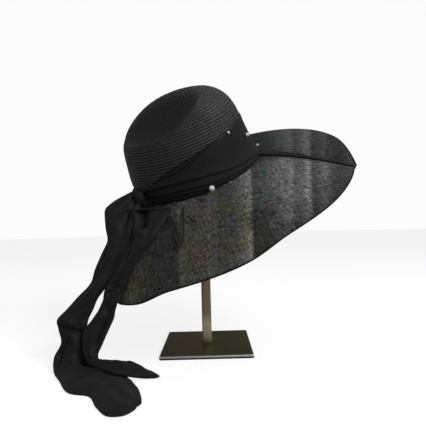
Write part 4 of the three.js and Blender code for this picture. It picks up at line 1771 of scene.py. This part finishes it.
@dataclass
class Scarf:
    """The silk scarf: its band round the crown, its knot, the fan of cloth below it and its two tails."""

    hat: HatFrame
    crown: Crown
    left_rows: tuple = (
        (-113, -24, 231, 19.5, -5), (-117, -34, 217, 25.5, -5), (-116, -43, 201, 26, -6),
        (-115, -51, 181, 23.5, -6), (-113.5, -57, 164, 21.7, -8), (-122.3, -63, 145, 20.5, -10),
        (-132.8, -67, 125, 17.9, -11), (-141.5, -71, 108, 13.6, -11), (-158, -73, 89, 15, -8),
        (-168, -75, 74, 18.6, -6), (-177, -77, 61, 21.5, -5), (-176, -79, 48, 19.8, -5),
        (-170, -83, 32, 21.5, -5), (-172, -87, 15, 27, -3), (-167, -100, 3.4, 26, 12),
        (-148, -116, 1.5, 32, 33), (-127, -141, 1.5, 37, 47), (-108.6, -156, 1.5, 29, 55),
        (-96.8, -176, 1.5, 33, 67), (-84, -196, 1.5, 31, 70), (-73, -207, 1.5, 20, 72),
        (-67, -208, 1.5, 9, 73),
    )
    right_rows: tuple = (
        (-77.7, -54, 208, 35.8, -16), (-75, -58, 199, 30, -17), (-77, -64, 185, 24, -18),
        (-80, -71, 170, 18, -18), (-86, -76, 157, 12.7, -17), (-98, -78, 143, 11.3, -12),
        (-110, -80, 121, 10.8, -8), (-116.3, -81, 109, 11.6, -6), (-121.8, -82, 99, 11.3, -6),
        (-124.2, -84, 87, 10.5, -6), (-129, -86, 74, 11.7, -6), (-133, -89, 64, 14.3, -6),
        (-142, -93, 48, 16.2, -6), (-145, -97, 33, 12.8, -6), (-146, -101, 21, 9, 0),
        (-140, -104, 14, 8, 20), (-127, -107, 12, 14, 45), (-111, -112, 10, 19, 60),
        (-95, -118, 8, 19, 68), (-78, -123, 4.5, 12, 71), (-62, -127, 2.5, 6, 72),
        (-56, -129, 1.8, 2.5, 72),
    )

    def build(self, finish: bpy.types.Material) -> None:
        """Builds band, knot and tails.

        Args:
            finish: The silk.
        """
        Band(self.hat, self.crown).build(finish)
        Knot(self.hat, self.crown).build(finish)
        self.left(finish)
        self.right(finish)

    def left(self, finish: bpy.types.Material) -> None:
        """The left tail: creased where it leaves the knot, bent at mid height, and laid out at the bottom.

        Args:
            finish: The silk.
        """
        folds = (
            Fold((0.2, 2.4), (0.8, -0.8), 3.4, 4.5, -0.6),
            Fold((0.9, 3.2), (0.85, 0.1), -4.4, 3.4),
            Fold((1.3, 4.6), (0.75, 0.4), 3.0, 5.5, 0.7),
            Fold((2.4, 6.2), (-0.3, -0.4), 2.4, 8.0, -0.6),
            Fold((3.8, 7.4), (0.5, 0.2), -2.4, 3.4),
            Fold((4.6, 8.4), (-0.68, -0.74), -2.4, 3.4),
            Fold((6.4, 10.6), (-0.1, -0.25), 3.2, 7.5, -0.4),
            Fold((6.2, 10.4), (0.68, 0.62), 2.8, 3.6, 0.6),
            Fold((11.1, 14.4), (0.0, -0.05), 4.0, 5.5, 0.5),
            Fold((11.0, 14.6), (0.62, 0.5), -3.4, 5.0, -0.3),
            Fold((11.6, 13.8), (-0.62, -0.68), -3.0, 3.6),
            Fold((13.6, 19.5), (0.25, 0.3), 1.8, 12.0, 0.4),
            Fold((14.2, 20.2), (-0.45, -0.35), 1.6, 11.0, -0.5),
            Fold((15.4, 20.4), (-0.08, 0.05), -0.9, 6.0),
        )
        creases = (
            Crease(10.95, 0.45, 0.0, -3.4, 0.2, 0.9),
            Crease(10.3, 0.4, -0.2, 2.4, 0.45, 0.7),
            Crease(0.5, -0.3, 0.1, 2.4, 0.3, 0.8),
            Crease(13.9, 0.1, -0.1, -2.8, 0.2, 0.4),
            Crease(17.4, 0.8, 0.2, 0.8, 0.5, 0.5),
            Crease(16.2, 0.6, -0.3, 0.7, 0.45, 0.4),
        )
        rows = np.array(self.left_rows, float)
        strip = Strip("silk_tail_left", ("tail_left",), rows, folds, creases, body=4.0, slant=9.0)
        strip.build(finish, Held.HUNG, "silk_knot")

    def right(self, finish: bpy.types.Material) -> None:
        """The right tail: a wide fan with a rolled lip and a hollow, which narrows into a hanging end.

        Args:
            finish: The silk.
        """
        folds = (
            Fold((0.3, 3.2), (0.36, 0.25), 2.6, 10.0, -0.75),
            Fold((0.4, 2.5), (-0.3, -0.25), -7.0, 7.5),
            Fold((0.3, 4.4), (-0.72, -0.6), 3.4, 3.6, -0.5),
            Fold((2.4, 4.4), (-0.1, 0.0), 3.2, 8.0, 0.3),
            Fold((3.4, 5.6), (-0.66, -0.3), -3.8, 3.0),
            Fold((0.5, 3.6), (0.82, 0.72), 1.8, 4.0),
            Fold((4.4, 9.6), (0.35, 0.1), 2.8, 3.6, 0.6),
            Fold((5.0, 9.4), (-0.45, -0.35), 2.2, 3.2, -0.6),
            Fold((6.0, 10.4), (-0.05, -0.1), -2.2, 2.0),
            Fold((9.6, 13.4), (0.45, 0.4), -3.0, 4.0),
            Fold((9.8, 14.4), (-0.2, 0.0), 2.6, 4.0, -0.5),
            Fold((15.4, 19.4), (-0.25, -0.1), 4.2, 7.0, 0.6),
            Fold((15.8, 20.0), (0.5, 0.4), -1.6, 3.0),
        )
        creases = (
            Crease(0.16, 0.0, 0.0, 3.0, 0.2, 1.2),
            Crease(0.6, 0.0, -0.2, -2.2, 0.25, 0.8),
            Crease(2.95, 0.6, -0.15, 3.0, 0.3, 0.5),
            Crease(16.2, 0.4, 0.2, -2.2, 0.3, 0.8),
            Crease(17.3, 0.2, 0.0, 2.4, 0.5, 0.8),
        )
        rows = np.array(self.right_rows, float)
        strip = Strip("silk_tail_right", ("scarf_fan", "tail_right"), rows, folds, creases, body=3.2, seed=9)
        strip.build(finish, Held.HUNG, "silk_knot")


@dataclass
class Pins:
    """Four pearl heads on the band, and three stripped quills tucked under its lower edge.

    A pearl has its turn in degrees, height over the rim and radius. A quill has the turn and the share of the
    way out over the brim at its start, the same at its end, and its radius.
    """

    hat: HatFrame
    crown: Crown
    brim: Brim
    out: float = 3.4
    pearls: tuple = ((-76, 6.5, 4.0), (-20, 44, 2.7), (-43, 64, 1.9), (2.6, 12.5, 1.9))
    quills: tuple = (
        (-109.8, 0.23, -98.6, 0.66, 1.9), (-100.2, 0.17, -98.1, 0.61, 1.6), (-96.8, 0.3, -91, 0.44, 1.5),
    )
    lift: float = 4.0
    taper: float = 0.4

    def build(self, pearl: bpy.types.Material, quill: bpy.types.Material) -> None:
        """Builds the pearls and the quills.

        Args:
            pearl: The pearls' finish.
            quill: The quills' finish.
        """
        for number, (angle, height, radius) in enumerate(self.pearls, 1):
            turn = math.radians(angle)
            middle = self.crown.wall_point(turn, np.array(float(height)), 0.0)
            middle = middle + self.crown.outward(turn) * (self.out + radius)
            piece = ball(f"pearl_head_{number}", self.hat.world(middle), np.eye(3) * radius, 48, 32)
            dress(piece, Slot.PEARL, pearl, f"pearl_{number}")
        for number, (a0, o0, a1, o1, radius) in enumerate(self.quills, 1):
            angle, out = np.radians([a0, a1]), np.array([o0, o1])
            ends = self.hat.world(self.brim.lifted(angle, out, self.lift))
            self.quill(number, ends, radius, quill)

    def quill(self, number: int, ends: np.ndarray, radius: float, finish: bpy.types.Material) -> None:
        """One quill: a slightly bowed round taper between two points.

        Args:
            number: Its number.
            ends: Its two ends in millimetres.
            radius: Its radius at the thick end.
            finish: The horn.
        """
        share, sides = np.linspace(0, 1, 28), 14
        route = ends[1] - ends[0]
        side = unit(np.cross(route, [0, 0, 1.0]))
        up = np.cross(side, unit(route))
        bow = 0.012 * np.linalg.norm(route) * np.sin(math.pi * share)
        middle = ends[0] + route * share[:, None] + up * bow[:, None]
        blunt = np.clip(8 * np.minimum(share, 1 - share) + 0.35, 0, 1) ** 0.5
        width = radius * (1 - self.taper * share) * blunt
        turn = circle(sides)[:, None]
        ring = side * np.cos(turn) + up * np.sin(turn)
        rings = middle[:, None] + ring[None] * width[:, None, None]
        places = uv_grid(share, np.linspace(0, 1, sides + 1))
        dress(tube(f"stripped_quill_{number}", rings, places, False), Slot.QUILL, finish, f"quill_{number}")


@dataclass
class Stand:
    """The square stand: its plate and post get fine rounded edges, and its hidden cap stays as it is."""

    hat: HatFrame
    side: float = 130.0
    thick: float = 5.2
    corner: float = 3.0
    bevel: float = 1.1
    post: float = 13.0
    turn: float = 8.0
    post_bevel: float = 0.8

    def outline(self, half: float, corner: float, around: int) -> np.ndarray:
        """A square with round corners: each quarter of a small circle stands at its own corner.

        Args:
            half: Half the square's side.
            corner: The corners' radius.
            around: How many points it has.

        Returns:
            Points in plan.
        """
        turn = circle(around)
        middle = np.floor(turn / (TURN / 4)) * TURN / 4 + TURN / 8
        inner = (half - corner) * math.sqrt(2)
        return np.stack([inner * np.cos(middle) + corner * np.cos(turn),
                         inner * np.sin(middle) + corner * np.sin(turn)], -1)

    def plate(self) -> bpy.types.Object:
        """The plate: its outline carried up a profile with two small rounds.

        Returns:
            The plate.
        """
        half, b, around = self.side / 2, self.bevel, 64
        bend = np.linspace(0, math.pi / 2, 5)
        low = np.stack([-b + b * np.sin(bend), b - b * np.cos(bend)], -1)
        high = np.stack([-b + b * np.cos(bend), self.thick - b + b * np.sin(bend)], -1)
        inner = -b - 1.0
        profile = np.concatenate([[(inner, 0.0)], low, high, [(inner, self.thick)]])
        rings = [np.column_stack([self.outline(half + inset, self.corner + inset, around),
                                  np.full(around, z)]) for inset, z in profile]
        return self.body("steel_plate", np.stack(rings))

    def body(self, name: str, rings: np.ndarray) -> bpy.types.Object:
        """A closed body with flat ends.

        Args:
            name: The piece's name.
            rings: Rings of points in millimetres.

        Returns:
            The body.
        """
        count, sides = rings.shape[:2]
        places = uv_grid(np.linspace(0, 1, count), np.linspace(0, 1, sides + 1))
        return tube(name, rings, places, False)

    def upright(self) -> bpy.types.Object:
        """The post: a square with small rounds, from the plate up to the cap's slanting underside.

        Returns:
            The post.
        """
        axes, around = self.hat.axes(), 24
        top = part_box("stand_post")[1].z / MM
        section = self.outline(self.post / 2, self.post_bevel, around)
        turn = math.radians(self.turn)
        x = section[:, 0] * math.cos(turn) - section[:, 1] * math.sin(turn)
        y = section[:, 0] * math.sin(turn) + section[:, 1] * math.cos(turn)
        cut = top - (axes[2, 0] * x + axes[2, 1] * y) / axes[2, 2]
        cut = cut - (cut.max() - top)
        low = np.column_stack([x, y, np.full(around, self.thick + 0.02)])
        return self.body("steel_post", np.stack([low, np.column_stack([x, y, cut])]))

    def build(self, steel: bpy.types.Material, paint: bpy.types.Material) -> None:
        """Builds the plate and the post, and paints the cap.

        Args:
            steel: The plate's and the post's finish.
            paint: The cap's.
        """
        dress(self.plate(), Slot.STEEL, steel, "stand_base")
        dress(self.upright(), Slot.STEEL, steel, "stand_post")
        cap = frame["nodes"]["stand_head"]
        cap.data.materials.clear()
        cap.data.materials.append(paint)


@dataclass
class Studio:
    """A plain pale floor, soft light and the camera."""

    eye: tuple[float, float, float] = (13.93, -618.43, 182.0)
    pitch: float = 1.8
    roll: float = -1.5
    focal: float = 402.0
    frame: float = 426.0
    sensor: float = 36.0
    backdrop: float = 0.975
    surround: float = 0.24
    floor_radius: float = 9000.0
    floor_glow: float = 0.78

    def camera(self) -> None:
        """The camera looks along +Y, a little up, and is rolled a little."""
        data = bpy.data.cameras.new("camera")
        data.sensor_width = self.sensor
        data.lens = self.focal / self.frame * self.sensor
        data.clip_start = 0.01
        thing = bpy.data.objects.new("camera", data)
        bpy.context.scene.collection.objects.link(thing)
        thing.rotation_mode = "QUATERNION"
        up = Quaternion((1, 0, 0), math.radians(90 + self.pitch))
        thing.rotation_quaternion = up @ Quaternion((0, 0, 1), math.radians(self.roll))
        thing.location = np.array(self.eye) * MM
        bpy.context.scene.camera = thing

    def floor(self) -> None:
        """A round pale floor, as bright to the camera as the surround."""
        sides = 64
        turn = circle(sides)
        ring = self.floor_radius * np.stack([np.cos(turn), np.sin(turn), 0 * turn], -1)
        points = np.concatenate([[[0, 0, 0]], ring])
        side = np.arange(sides)
        fan = np.stack([0 * side, side + 1, (side + 1) % sides + 1], -1)
        piece = make_mesh("floor", points, [Faces(fan, np.zeros((sides, 3, 2)))])
        s = Shader("pale_floor", Roughness=0.9, Specular_IOR_Level=0.1, Base_Color=(0.45, 0.45, 0.45, 1),
                   Emission_Color=(1, 1, 1, 1))
        sight = s.node("LightPath").outputs["Is Camera Ray"]
        s.feed(s.surface.inputs["Emission Strength"], s.times(sight, self.floor_glow))
        piece.data.materials.append(s.material)

    def sky(self) -> None:
        """An even white surround, dimmer as a light than it looks."""
        world = bpy.data.worlds.new("studio")
        world.use_nodes = True
        tree = world.node_tree
        bright = tree.nodes["Background"]
        bright.inputs["Color"].default_value = (1, 1, 1, 1)
        path = tree.nodes.new("ShaderNodeLightPath")
        level = tree.nodes.new("ShaderNodeMath")
        level.operation = "MULTIPLY_ADD"
        level.inputs[1].default_value = self.backdrop - self.surround
        level.inputs[2].default_value = self.surround
        tree.links.new(path.outputs["Is Camera Ray"], level.inputs[0])
        tree.links.new(level.outputs[0], bright.inputs["Strength"])
        bpy.context.scene.world = world

    def lamp(self, name: str, place: tuple, aim: tuple, size: float, power: float) -> None:
        """A square soft light.

        Args:
            name: Its name.
            place: Where it is, in metres.
            aim: The point that it looks at.
            size: Its side.
            power: Its power in watts.
        """
        data = bpy.data.lights.new(name, "AREA")
        data.shape = "SQUARE"
        data.size = size
        data.energy = power
        thing = bpy.data.objects.new(name, data)
        bpy.context.scene.collection.objects.link(thing)
        thing.location = place
        thing.rotation_euler = (Vector(aim) - Vector(place)).to_track_quat("-Z", "Y").to_euler()

    def build(self) -> None:
        """Sets up the plain tone curve, the camera, floor, surround and lights."""
        bpy.context.scene.view_settings.view_transform = "Standard"
        self.camera()
        self.floor()
        self.sky()
        self.lamp("key", (1.1, -1.2, 1.3), (0.0, 0.0, 0.25), 0.8, 19.5)
        self.lamp("fill", (-1.4, -1.0, 1.0), (-0.05, 0.0, 0.2), 1.2, 1.0)
        self.lamp("top", (0.5, 0.3, 1.9), (0.0, 0.0, 0.25), 1.0, 1.6)


def main() -> None:
    """Builds the studio and every piece of the hat and its stand."""
    logging.basicConfig(level=logging.INFO, format="%(name)s %(message)s")
    hat = HatFrame()
    Studio().build()
    Stand(hat).build(BrushedSteel().build(), PaintedCap().build())
    crown, brim = Crown(hat), Brim(hat)
    crown.build(StrawBraid().build())
    brim.build(SinamayThread().build(), BoundEdge().build())
    Scarf(hat, crown).build(Silk().build())
    Pins(hat, crown, brim).build(PearlCoat().build(), QuillHorn().build())


if __name__ == "__main__":
    main()
